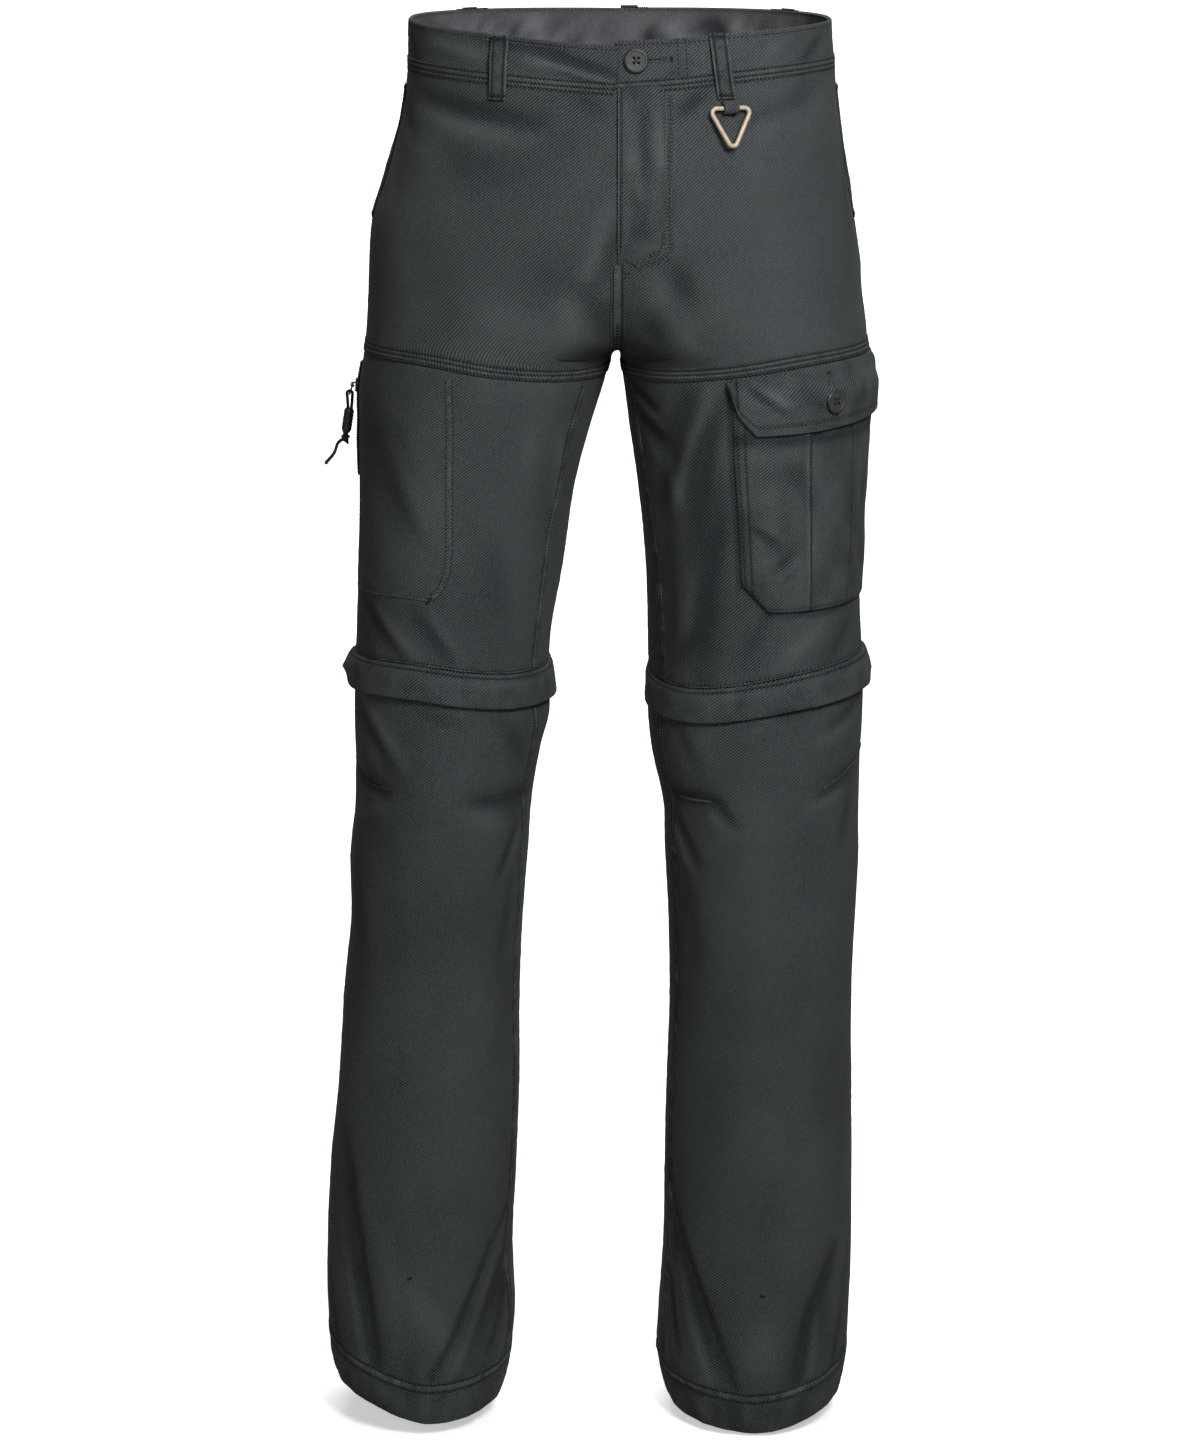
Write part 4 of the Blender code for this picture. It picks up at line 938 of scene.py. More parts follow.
def makeWaistbandBack():
    # one strip from side seam to side seam, as the CAD has it
    grids = {}
    columns = steps(240.0, cell["across"], cell["near"])
    rows = steps(36.0, 3.0, (0.8, 2.0))
    for side in (right, left):
        def seatMiddle(down, side=side):
            return 360 - centreTurn(side, down, 0.0)

        _, share, turn, down = panelGrid(backSide, seatMiddle, lineOf(waistTop, side),
                                         lineOf(waistSeam, side), columns, rows, 225.0)
        lift = -0.9 * ridge(np.minimum(share, 1 - share) * 36, cell["turnedIn"])
        # soft upright creases that show on the inside from the front
        way = (turn - 180) * 1.7 * side
        creases = (1.6 * softNoise((way + 9 * share) / 11 + 5, share * 1.3 + 2)
                   + 0.9 * softNoise((way - 14 * share) / 5 + 2, share * 2.6))
        creases = creases * np.clip((share - 0.05) * 2.5, 0, 1)
        # folds and creases fade at the middle, where the two sides meet
        fade = np.clip((seatMiddle(down) - turn) / 8, 0, 1)
        lift = lift + creases * fade
        places = clothPoint(side, turn, down, lift)
        plain = rawPoint(side, turn, down) + outwardAt(side, turn, down) * lift[..., None]
        grids[side] = places * fade[..., None] + plain * (1 - fade[..., None]), down, creases * fade
    points, down, crease = (np.concatenate([ours, theirs[:, -2::-1]], axis=1)
                            for ours, theirs in zip(grids[right], grids[left]))
    piece, column, row = gridPiece("waistbandBack", *down.shape)
    across = np.linalg.norm(np.diff(points, axis=1), axis=2)
    u = np.concatenate([np.zeros((len(down), 1)), np.cumsum(across, axis=1)], axis=1)
    uv = np.stack([u[row, column], down[row, column]], -1)
    # the creases are also painted into the colour: painted shade and painted light along them
    setShape(piece, points[row, column], uv, np.clip(-crease[row, column] / 1.1, -1.5, 1.5))
    piece.data.flip_normals()
    applyModifier(piece, "SOLIDIFY", thickness=panels["waistband"] * mm, offset=-1)
    finish(piece, clothMaterial)
    # the faces that point inwards take a lighter, more purple copy of the twill
    piece.data.materials.append(facingMaterial)
    for face in piece.data.polygons:
        if face.normal.x * face.center.x + face.normal.y * face.center.y < 0 and abs(face.normal.z) < 0.6:
            face.material_index = 1
    width = float(across.sum(1).max()) * mm
    height = float((down[-1] - down[0]).max()) * mm
    piece["cut"] = (width, height, width * height * 0.97)
    isCloth(piece, nodes=["waistband_back"])


makePanels()
makeWaistbandBack()
print("cloth panels made")


# the felled and topstitched seams
seams = {"waistRows": (-3.6, -0.4, 3.4), "thighRows": (-3.4, -0.2, 3.0), "inseamRows": (-2.4, 2.4),
         "hemRows": (-3.0, 3.0), "seatRows": (-3.0, 3.0)}


def lineBetween(rows, side, turnA, turnB, shift=0.0, count=40):
    turn = np.linspace(turnA, turnB, count)
    return np.stack([turn, lineOf(rows, side)(turn) + shift], -1)


def makeSeams():
    for side in (right, left):
        word = sideWord[side]
        startTurn = float(centreTurn(side, np.array([42.0]), 2.0 if side == right else -0.5)[0])
        for name, turnA, turnB in (("waistSeam", startTurn, 180), ("waistSeamBack", 180, 268)):
            seamBand(name + word, side, lineBetween(waistSeam, side, turnA, turnB, 0.5), seams["waistRows"],
                     5.2, raised=0.8, edgeDrop=(-0.45, 0.25), pucker=0.14)
        sewnRow("waistTopRow" + word, side, lineBetween(waistTop, side, startTurn, 179.8, 3.2))
        sewnRow("waistTopRowBack" + word, side, lineBetween(waistTop, side, 180.2, 269, 3.2))
        sewnRow("kneeRow" + word, side, lineBetween(kneeLine, side, 1, 359, -2.2, 90))
        seamBand("thighSeam" + word, side, lineBetween(thighSeam, side, 3, 179.5, -4.2), seams["thighRows"],
                 5.0, raised=1.05, edgeDrop=(0.35, -0.5), pucker=0.16)
        knee = lineOf(kneeLine, side)
        upper = [(float(inseamAt(side, d)), d) for d in np.linspace(263, float(knee(30.0)) - 1.0, 18)]
        lower = [(float(inseamAt(side, d)), d) for d in np.linspace(float(knee(30.0)) + 18, 1046, 30)]
        seamBand("inseamUpper" + word, side, upper, seams["inseamRows"], 4.4, raised=0.7, pucker=0.30)
        seamBand("inseamLower" + word, side, lower, seams["inseamRows"], 4.4, raised=0.6, pucker=0.28)
        seamBand("hemStitch" + word, side, lineBetween(hemLine, side, 0.5, 359.5, -31, 90), seams["hemRows"],
                 4.6, raised=0.7, edgeDrop=(0.1, -0.2), pucker=0.34)
        hem = lineOf(hemLine, side)
        for name, top, foot in (("Waist", 1.0, 33.5), ("Hip", 33.0, 243.0), ("Thigh", 246.0, 472.0),
                                ("Shin", 501.0, float(hem(180.0)) - 0.4)):
            path = [(180.0, d) for d in np.linspace(top, foot, 20)]
            seamBand("sideSeam" + name + word, side, path, (-1.9,), 3.0, raised=0.45, edgeDrop=(0.1, -0.3),
                     pucker=0.2)
        for name, top, foot in (("Thigh", 262.0, 482.0), ("Shin", 512.0, float(hem(0.0)) - 0.4)):
            path = [(0.0, d) for d in np.linspace(top, foot, 20)]
            seamBand("innerSeam" + name + word, side, path, (), 2.2, raised=0.35, pucker=0.15)
        print("seams", word)


makeSeams()


# fly, with its curved double row and the slanting bartack
fly = {"top": 41.0, "straight": 140.0, "foot": 166.0, "width": 33.0, "seat": 0.45, "cloth": 1.0,
       "rows": [(101.5, 44), (100.5, 64), (99, 84), (97.3, 102), (95.2, 120), (92.8, 138), (91.2, 150),
                (89.9, 155.5), (87.6, 159.5), (84.4, 162), (80.4, 164), (77.2, 165.8)]}


def makeFly():
    down = np.concatenate([np.linspace(fly["top"], fly["straight"], 34),
                           np.linspace(fly["straight"], fly["foot"], 14)[1:]])
    past = np.clip((down - fly["straight"]) / (fly["foot"] - fly["straight"]), 0, 1)
    reach = 3.0 + (fly["width"] - 3.0) * np.sqrt(1 - past**2)
    start = centreTurn(left, down, 0.4)
    across = np.concatenate([[0, 0.025, 0.05, 0.07, 0.09, 0.12], np.linspace(0.17, 0.94, 11), [0.98, 1]])
    turn = start[:, None] + degreesOf(left, start, down, reach)[:, None] * across
    down = np.repeat(down[:, None], len(across), axis=1)
    # the top edge follows the waistband's seam
    down[0] = lineOf(waistSeam, left)(turn[0]) + 0.6
    # the overlap's edge stands up and the sewn edge lies flush
    rise = fly["seat"] + fly["cloth"] * (1 - 1.3 * np.clip((across - 0.55) / 0.45, 0, 1)**2)
    inFrom = across * fly["width"]
    rise = rise + 0.35 * ridge(inFrom, 2.0, 0.99) - 0.3 * ridge(inFrom, 0.8, 3.3)
    rise = np.broadcast_to(rise, turn.shape) + 0.22 * softNoise(down / 9.0, across * 2.5 + 4)
    rise = rise * (1 - 0.8 * past[:, None])
    paintedCrumpleShade = softNoise(down / 13.0 + 3, across * 3.0) * np.clip(across * 6, 0, 1)
    # painted highlight along the overlap's free edge, painted shade along its edge row and along a line
    # further in, and painted light and shade of crumples
    tone = (0.9 * ridge(inFrom, 0.8) - 1.5 * ridge(inFrom, 0.8, 2.31)
            - 0.5 * ridge(inFrom, 2.2, 11.88) * (down < 150) + 0.45 * paintedCrumpleShade)
    piece = clothPiece("flyOverlap", left, turn, down, rise, fly["cloth"], clothMaterial,
                       ownShade=tone * (1 - 0.8 * past[:, None]))
    isCloth(piece, nodes=["fly"])
    # the double row runs down and turns in to the edge
    for number, inset in enumerate((-2.8, 2.8)):
        row = sideways(left, *pathOn(left, fly["rows"], 1.6), inset)
        sewnRow("flyRow" + str(number), left, np.stack(row, -1)[::3], 0.15)
    edge = [(float(centreTurn(left, np.array([d]), 2.7)[0]), d) for d in np.linspace(46, 154, 20)]
    sewRow(left, edge, fly["seat"] + fly["cloth"] + 0.12)
    bartack(left, (76.4, 162.5), (79.4, 170.0), 0.9)
    # the overlap's foot is closed by two short rows, with its double row going up into the waistband
    for height in (173.2, 176.0):
        sewRow(left, [(69.5, height), (75.5, height)], 0.35, pitch=2.4)
    for turnRow in (105.4, 107.6):
        sewnRow("bandRow" + str(int(turnRow)), left, [(turnRow, d) for d in np.linspace(5.5, 35, 8)])


def bartack(side, first, last, lift):
    # a short bar of close stitches lying across its own line
    points = np.array([first, last], float)
    turn, down = (np.interp(np.linspace(0, 1, 9), (0, 1), points[:, i]) for i in (0, 1))
    turnB, downB = sideways(side, turn, down, 1.1)
    turnA, downA = sideways(side, turn, down, -1.1)
    a, b = clothPoint(side, turnA, downA, lift), clothPoint(side, turnB, downB, lift)
    stitchPlaces.append((a, b, outwardAt(side, turn, down)))


makeFly()


# seams on the middle line, in front below the fly and behind
def middleSeam(name, sign, downs, rowsAt, halfWidth, raised):
    # sign 1 is the front and -1 the back; offsets run across the middle
    def placeAt(offset, down, lift):
        side = left if offset > 0 else right
        turn = centreTurn(side, down, abs(offset))
        turn = turn if sign > 0 else 360 - turn
        return clothPoint(side, turn, down, lift), outwardAt(side, turn, down)

    offsets, heights = bandProfile(halfWidth, rowsAt, raised, (0, 0))
    down = np.arange(downs[0], downs[1], 1.6)
    ripple = softNoise(down / 4.6 + 3 * sign, 0.5)
    columns, tones = [], []
    for offset, height in zip(offsets, heights):
        loose = max(0.0, min(1.0, height / raised))
        inGroove = max(ridge(offset, groove["reach"], row) for row in rowsAt)
        atEdge = abs(offset) > halfWidth - 0.5
        # painted shade in the stitch grooves and along the band's edges, painted light and shade on its
        # ripples
        tones.append(0.3 + ripple * (1 - inGroove) - 1.9 * inGroove - 1.2 * atEdge)
        besideMiddle = offset if abs(offset) > 0.05 else 0.05
        columns.append(placeAt(besideMiddle, down, height + 0.3 * loose * ripple)[0])
    # the band closes on itself underneath, a little inside the cloth
    inside = np.array([0, 0.9 * sign, 0])
    columns += [columns[-1] + inside, columns[0] + inside, columns[0]]
    tones += [tones[-1], tones[0], tones[0]]
    grid = np.stack(columns, 1)
    piece, column, row = gridPiece(name, *grid.shape[:2])
    uv = np.stack([np.interp(column, range(len(offsets)), offsets), down[row]], -1)
    setShape(piece, grid[row, column], uv, np.clip(np.stack(tones, 1)[row, column], -1.7, 1.2))
    closeBand(piece)
    for offset in rowsAt:
        places, normals = placeAt(offset, down, raised - 0.25)
        addStitches(places, normals, stitch["pitch"])


middleSeam("crotchSeam", 1, (167, 238), (-3.2, 3.6), 5.4, 0.7)
middleSeam("seatSeam", -1, (43, 238), seams["seatRows"], 4.8, 0.7)
print("fly and middle seams made")


# belt loops: name end, side, turn at top and foot, depth at top and foot
beltLoops = [
    ("front_right", right, 121.8, 121.5, 4.5, 50), ("front_left", left, 116.0, 117.2, 2.5, 49),
    ("back_right", right, 226.6, 226.2, 0.0, 51), ("back_left", left, 218.2, 218.0, 0.0, 51),
    ("back_middle", left, 266.5, 266.3, 1.0, 52),
]
loop = {"width": 13.0, "cloth": 1.5, "seat": 0.9, "bow": 2.1, "rowIn": 2.4, "bars": (0.06, 0.94),
        "barHalf": 14.5}


def makeBeltLoops():
    for name, side, turnTop, turnFoot, top, foot in beltLoops:
        share = np.concatenate([[0, 0.02], np.linspace(0.05, 0.95, 24), [0.98, 1]])
        across = np.array([-1, -0.93, -0.75, -0.62, -0.4, 0, 0.4, 0.62, 0.75, 0.93, 1])
        down = top + (foot - top) * share

        def liftAt(s):
            # pressed flat near both ends, standing off between them
            return loop["seat"] + loop["cloth"] + loop["bow"] * np.clip(np.sin(math.pi * s), 0, 1)**1.3

        middle = turnTop + (turnFoot - turnTop) * share
        half = degreesOf(side, middle, down, loop["width"] / 2)
        turn = middle[:, None] + half[:, None] * across
        edge = -0.35 * (np.abs(across) > 0.97) - 0.3 * ridge(np.abs(across), 0.1, 0.62)
        atEnds = sum(ridge(share, 0.03, end) for end in loop["bars"])[:, None]
        rise = liftAt(share)[:, None] + edge - 0.5 * atEnds
        rise = rise + 0.25 * softNoise(down[:, None] / 7 + top + 7 * turnTop, across * 1.5)
        # painted highlight on the loop's edges, painted shade along its rows and at its sewn ends, and an
        # uneven tone
        tone = 1.0 * (np.abs(across) > 0.9) - 1.5 * ridge(np.abs(across), 0.13, 0.62)
        tone = tone - 1.2 * atEnds + 0.5 * softNoise(down[:, None] / 3.2 + turnTop, across * 2)
        piece = clothPiece("beltLoop" + name.title().replace("_", ""), side, turn, down[:, None], rise,
                           loop["cloth"], trimMaterial, shadeScale=8, ownShade=tone)
        isCloth(piece,
                nodes=["belt_loop_" + name])
        for sign in (-1, 1):
            inset = degreesOf(side, middle, down, loop["width"] / 2 - loop["rowIn"]) * sign
            sewRow(side, np.stack([middle + inset, down], -1)[2:-2],
                   lambda t, d, a=top, b=foot: liftAt((d - a) / (b - a)) - 0.05, pitch=2.8)
        if "back" in name:
            # a long close bar holds the loop's top on the waistband's edge
            reach = float(degreesOf(side, turnTop, top, loop["barHalf"]))
            bar = [(turnTop + reach * t, float(lineOf(waistTop, side)(turnTop + reach * t)) - 0.1)
                   for t in np.linspace(-1, 1 if name != "back_middle" else 0.35, 9)]
            for lift in (-0.4, -1.3, -2.1):
                sewRow(side, bar, lift, pitch=1.7)
        for end in loop["bars"]:
            where = top + (foot - top) * end
            centre = turnTop + (turnFoot - turnTop) * end
            reach = float(degreesOf(side, centre, where, loop["width"] / 2 - 1.4))
            bartack(side, (centre - reach, where), (centre + reach, where), float(liftAt(end)) - 0.2)


makeBeltLoops()


# side pocket mouths, with their double row
sidePocket = {"top": 48.0, "foot": 146.0, "width": 11.0, "turn": 179.0, "rowsIn": (3.0, 7.6),
              "bars": (50.0, 143.0), "barTurn": 174.0, "barHalf": 4.5}


def mouthSwell(down):
    # from 0 at both ends of the mouth to 1 between them
    share = (down - sidePocket["top"]) / (sidePocket["foot"] - sidePocket["top"])
    return np.sin(math.pi * np.clip(share, 0, 1))**2


def makeSidePockets():
    for side in (right, left):
        share = np.linspace(0, 1, 40)
        across = np.concatenate([[0, 0.06], np.linspace(0.15, 0.85, 6), [0.94, 1]])
        down = sidePocket["top"] + (sidePocket["foot"] - sidePocket["top"]) * share
        width = degreesOf(side, sidePocket["turn"], down, sidePocket["width"])
        turn = sidePocket["turn"] - width[:, None] * across
        gape = np.sin(math.pi * share**1.7)[:, None]**2 * np.clip(1 - across / 0.4, 0, 1) * 1.3
        rise = 1.2 + gape - 0.7 * (across > 0.97) - 0.3 * ridge(across, 0.12, 0.5)
        rise = rise + 0.2 * softNoise(down[:, None] / 6, across * 2 + 9 * side)
        # its columns run towards the front, against those of a panel
        piece = clothPiece("sidePocket" + sideWord[side], side, turn, down[:, None], rise, 1.25,
                           trimMaterial, flipped=True)
        isCloth(piece,
                nodes=["side_pocket_" + nodeWord[side]])
        for inset in sidePocket["rowsIn"]:
            row = sidePocket["turn"] - degreesOf(side, sidePocket["turn"], down, inset)
            standsOff = max(0, 0.5 - inset / 8)
            sewRow(side, np.stack([row, down], -1), lambda t, d, most=standsOff: 1.25 + most * mouthSwell(d))
        for where in sidePocket["bars"]:
            middle = sidePocket["barTurn"]
            reach = float(degreesOf(side, middle, where, sidePocket["barHalf"]))
            bartack(side, (middle - reach, where), (middle + reach, where), 1.6)


makeSidePockets()
print("loops and side pockets made")


# cargo pocket: a patch with a box pleat, and its buttoned flap
cargoFoot = [(82, 407), (95.5, 427), (171, 427), (184.5, 407)]
cargoFlapFoot = [(80.5, 256), (84.5, 278), (92.5, 292), (112, 290.5), (133, 288), (155, 286.5), (176, 287),
                 (182, 280), (187, 258)]
cargo = {"top": 275.0, "turns": (82.0, 184.5), "puff": 3.4, "pleat": (117.5, 141.5), "pleatStep": 1.1,
         "seat": 0.75, "rowsIn": (3.0, 8.8)}
cargoCreases = [
    (left, 88, 362, 101, 375, 3.2, -1.1), (left, 91, 358, 104, 371, 3.0, 0.8),
    (left, 98, 396, 108, 382, 3.0, -0.9), (left, 100, 400, 112, 387, 3.0, 0.7),
    (left, 110, 318, 118, 352, 8, -0.9), (left, 152, 330, 168, 372, 9, -0.7),
    (left, 152, 404, 166, 392, 5, -0.7),
]


def footOf(rows, turn):
    return np.interp(turn, [row[0] for row in rows], [row[1] for row in rows])


def cargoLift(turn, down):
    # outer face of the pocket
    first, last = cargo["turns"]
    share = np.clip((down - cargo["top"]) / (footOf(cargoFoot, turn) - cargo["top"]), 0, 1)
    across = np.clip((turn - first) / (last - first), 0, 1)
    swell = np.sin(math.pi * across)**0.7 * np.sin(math.pi * (0.25 + 0.75 * share))
    pleatA, pleatB = cargo["pleat"]
    step = 1 / (1 + np.exp((turn - pleatA) * 4)) + 1 / (1 + np.exp(-(turn - pleatB) * 4))
    fold = 0.6 * ridge(turn - pleatA + 0.6, 0.8) + 0.6 * ridge(turn - pleatB, 0.8, 0.6)
    inside = np.clip(swell / 0.25, 0, 1)
    lift = cargo["seat"] + cargo["puff"] * np.clip(swell, 0, 1) + (cargo["pleatStep"] * step + fold) * inside
    crease = foldsAt(cargoCreases, left, turn, down)
    wobble = 0.5 * softNoise(turn / 9 + 3, down / 26) + 0.25 * softNoise(turn / 4, down / 13 + 5)
    return lift + 1.6 + (crease + wobble) * inside


def makeCargoPocket():
    first, last = cargo["turns"]
    pleatA, pleatB = cargo["pleat"]
    columns = np.concatenate([[0, 0.004, 0.012], np.linspace(0.022, 0.318, 30), np.linspace(0.325, 0.362, 9),
                              np.linspace(0.372, 0.55, 16), np.linspace(0.558, 0.604, 9),
                              np.linspace(0.615, 0.978, 34), [0.988, 0.996, 1]])
    rows = steps(152.0, 2.8, (0.7, 1.8))
    across, share = np.meshgrid(columns, rows)
    turn = first + (last - first) * across
    foot = footOf(cargoFoot, turn)
    down = cargo["top"] + (foot - cargo["top"]) * share
    edge = ridge(np.minimum(across, 1 - across) * 165, 0.8) + ridge((1 - share) * 150, 0.8)
    fromSide = (turn - first) * mmPerDegree
    sewn = sum(ridge(fromSide, 0.8, inset) for inset in cargo["rowsIn"])
    rise = cargoLift(turn, down) - 0.8 * np.clip(edge, 0, 1) - 0.4 * sewn
    crease = foldsAt(cargoCreases, left, turn, down)
    # painted light along the left edge and beside the pleat; painted shade along the rows, in the pleat's
    # folds, along the foot, under the flap and in the creases; and an uneven tone
    tone = (0.5 * ridge(fromSide, 0.9) - 1.0 * ridge(fromSide, 0.8, 3.0)
            - 0.9 * ridge(fromSide, 0.8, 8.8) - 2.2 * ridge(turn - pleatA + 0.3, 0.55)
            + 0.7 * ridge(turn - pleatA + 1.6, 0.7) - 0.8 * ridge(turn, 0.6, pleatB)
            - 1.2 * ridge(foot - down, 0.9, 3.0) - 1.3 * ridge(down, 5.0, 296.0)
            + 0.75 * crease + 0.45 * softNoise(turn / 7 + 8, down / 17))
    piece = clothPiece("cargoPocket", left, turn, down, rise, 1.6, clothMaterial, shadeScale=2.6,
                       ownShade=tone)
    isCloth(piece, nodes=["cargo_pocket"])
    cornerTurn = cargoFoot[1][0]
    for inset in cargo["rowsIn"]:
        start = first + inset / mmPerDegree
        row = [(start, d) for d in np.linspace(292, 404, 30)]
        row += [(start + (cornerTurn - first) * t, 404 + 20 * t - inset * 0.25) for t in (0.3, 0.6, 0.93)]
        sewRow(left, row, above(cargoLift, -0.12))
    footRow = [(t, float(footOf(cargoFoot, t)) - 3.0) for t in np.linspace(97, 183, 60)]
    sewRow(left, footRow, above(cargoLift, -0.05))
    outerRow = [(last - 1.8, d) for d in np.linspace(300, 402, 30)]
    sewRow(left, outerRow, above(cargoLift, -0.05))
    pleatRow = [(144.6, d) for d in np.linspace(298, 422, 30)]
    sewRow(left, pleatRow, above(cargoLift, 0.02))
    bartack(left, (94.2, 421.5), (97.2, 426.5), 2.1)


cargoButton = {"turn": 126.5, "down": 269.0, "reach": 5.0}
flapEnds = cargoFlapFoot[0][0], cargoFlapFoot[-1][0]


def flapTop(turn):
    return lineOf(thighSeam, left)(turn) + 2.0


def plainFlapLift(turn, down):
    # outer face of the flap without its creases, as the CAD has it
    first, last = flapEnds
    share = (down - flapTop(turn)) / (footOf(cargoFlapFoot, turn) - flapTop(turn))
    share = np.clip(share, 0, 1)
    across = np.clip((turn - first) / (last - first), 0, 1)
    overPocket = np.clip((share - 0.2) / 0.3, 0, 1)
    return 2.3 + share + overPocket * (2.2 + 4.2 * np.sin(math.pi * across)**0.6), share


flapCreases = [
    (left, 89.5, 258, 104, 275, 2.6, -1.7), (left, 92, 254, 107, 271, 2.6, 0.9),
    (left, 112, 262, 126, 276, 6, -0.7), (left, 150, 258, 140, 276, 6, -0.7),
]


def cargoFlapLift(turn, down):
    lift, share = plainFlapLift(turn, down)
    crease = foldsAt(flapCreases, left, turn, down)
    wobble = 0.45 * softNoise(turn / 8, down / 16) * np.clip(share * 3, 0, 1)
    return lift + crease + wobble


def makeCargoFlap():
    first, last = flapEnds
    columns = steps(170.0, 2.2, (0.7, 1.6))
    rows = steps(42.0, 2.0, (0.6, 1.4))
    across, share = np.meshgrid(columns, rows)
    turn = first + (last - first) * across
    down = flapTop(turn) + (footOf(cargoFlapFoot, turn) - flapTop(turn)) * share
    toEdge = np.minimum(np.minimum(across, 1 - across) * 168, (1 - share) * 40)
    rise = cargoFlapLift(turn, down) - 0.5 * ridge(toEdge, 0.7) - 0.35 * ridge(toEdge, 0.9, 6.0)
    rise = rise + 0.3 * ridge(toEdge, 1.6, 2.2)
    crease = foldsAt(flapCreases, left, turn, down)
    # painted highlight along the flap's edges, painted shade along its row and just inside the edge, painted
    # shade of its creases, and an uneven tone
    tone = (0.9 * ridge(toEdge, 1.0) - 1.3 * ridge(toEdge, 0.9, 6.0)
            - 0.5 * ridge(toEdge, 0.8, 2.4) + 0.8 * crease + 0.4 * softNoise(turn / 6, down / 12))
    piece = clothPiece("cargoFlap", left, turn, down, rise, 2.2, clothMaterial, shadeScale=2.6,
                       ownShade=tone)
    isCloth(piece, nodes=["cargo_flap"])
    edgeRow = [(t, float(footOf(cargoFlapFoot, t)) - 6.0) for t in np.linspace(86.6, 181.4, 70)]
    frontEnd = [(84.6, d) for d in np.linspace(252, 272, 6)]
    backEnd = [(183.6, d) for d in np.linspace(274, 254, 6)]
    sewRow(left, frontEnd + edgeRow + backEnd, above(cargoFlapLift, -0.12), pitch=2.9)
    # buttonhole: two close rows with a bar at the end, above the button
    for shift in (-1.0, 1.0):
        holeRow = [(cargoButton["turn"] + shift, d) for d in (249.5, 254, 260.5)]
        sewRow(left, holeRow, above(cargoFlapLift, 0.02), pitch=1.6)
    barLift = float(cargoFlapLift(np.array(cargoButton["turn"]), np.array(249.0)))
    bartack(left, (125.4, 249.0), (127.6, 249.0), barLift + 0.05)


makeCargoPocket()
makeCargoFlap()


# stitched outline of the zip pocket on the right thigh
zipPocketRow = [(105.3, 252.5), (101, 290), (98.5, 327), (96.3, 360), (95.5, 387), (96.5, 400), (99.5, 411),
                (104.5, 418)]
seamBand("zipPocketRows", right, zipPocketRow, (-2.5, 2.5), 4.2, raised=0.4, edgeDrop=(-0.3, -0.3),
         pucker=0.2)
seamBand("zipPocketFoot", right, [(106, 417.5), (121, 417), (140, 419), (156, 421), (176, 423)], (), 1.5,
         raised=0.35, edgeDrop=(0.1, -0.25), pucker=0.1)
bartack(right, (103.0, 416.0), (106.0, 421.0), 0.3)
for tackSide, tackTurn, tackDown in ((right, 94.0, 962.0), (left, 91.5, 977.0)):
    bartack(tackSide, (tackTurn - 1.2, tackDown), (tackTurn + 1.2, tackDown + 1.0), 0.15)

# short darts at each knee
kneeDarts = [("kneeDartOuterRight", right, [(178, 561), (161, 567), (142, 569.5), (124, 569)]),
             ("kneeDartInnerRight", right, [(68, 574.5), (50, 577), (30, 580), (20, 582)]),
             ("kneeDartInnerLeft", left, [(18, 577), (26, 578), (44, 579), (61, 577)]),
             ("kneeDartOuterLeft", left, [(126, 567), (142, 562), (156, 557), (176, 549)])]
for dartName, dartSide, dartPath in kneeDarts:
    seamBand(dartName, dartSide, dartPath, (), 1.3, raised=0.45, edgeDrop=(0.2, -0.3), pucker=0.08)
print("pockets and darts made")


# the covers over the knee zips, and the zips under them
kneeFlap = {"height": 26.0, "cloth": 1.7, "seat": 0.7, "rowIn": 3.0, "groove": 0.115}


def kneeFlapGrid(side, turn, share):
    knee = lineOf(kneeLine, side)
    atSide = ridge(turn, 13, 180)
    height = kneeFlap["height"] - (5.0 if side == right else 2.0) * atSide
    down = knee(turn) + seamGap + height * share
    curl = (0.75 if side == right else 0.55) * atSide
    rise = np.interp(share, (0, 0.12, 0.5, 1), (0, 0.3, 0.62, 1)) - curl * np.clip((share - 0.7) / 0.3, 0, 1)
    flatter = 1 - 0.35 * ridge(turn, 48, 88)
    lift = kneeFlap["seat"] + (lineOf(flapLift, side)(turn) - kneeFlap["seat"]) * rise * flatter
    return down, lift + 1.6 - 2.1 * np.clip(1 - share / 0.22, 0, 1)**1.5


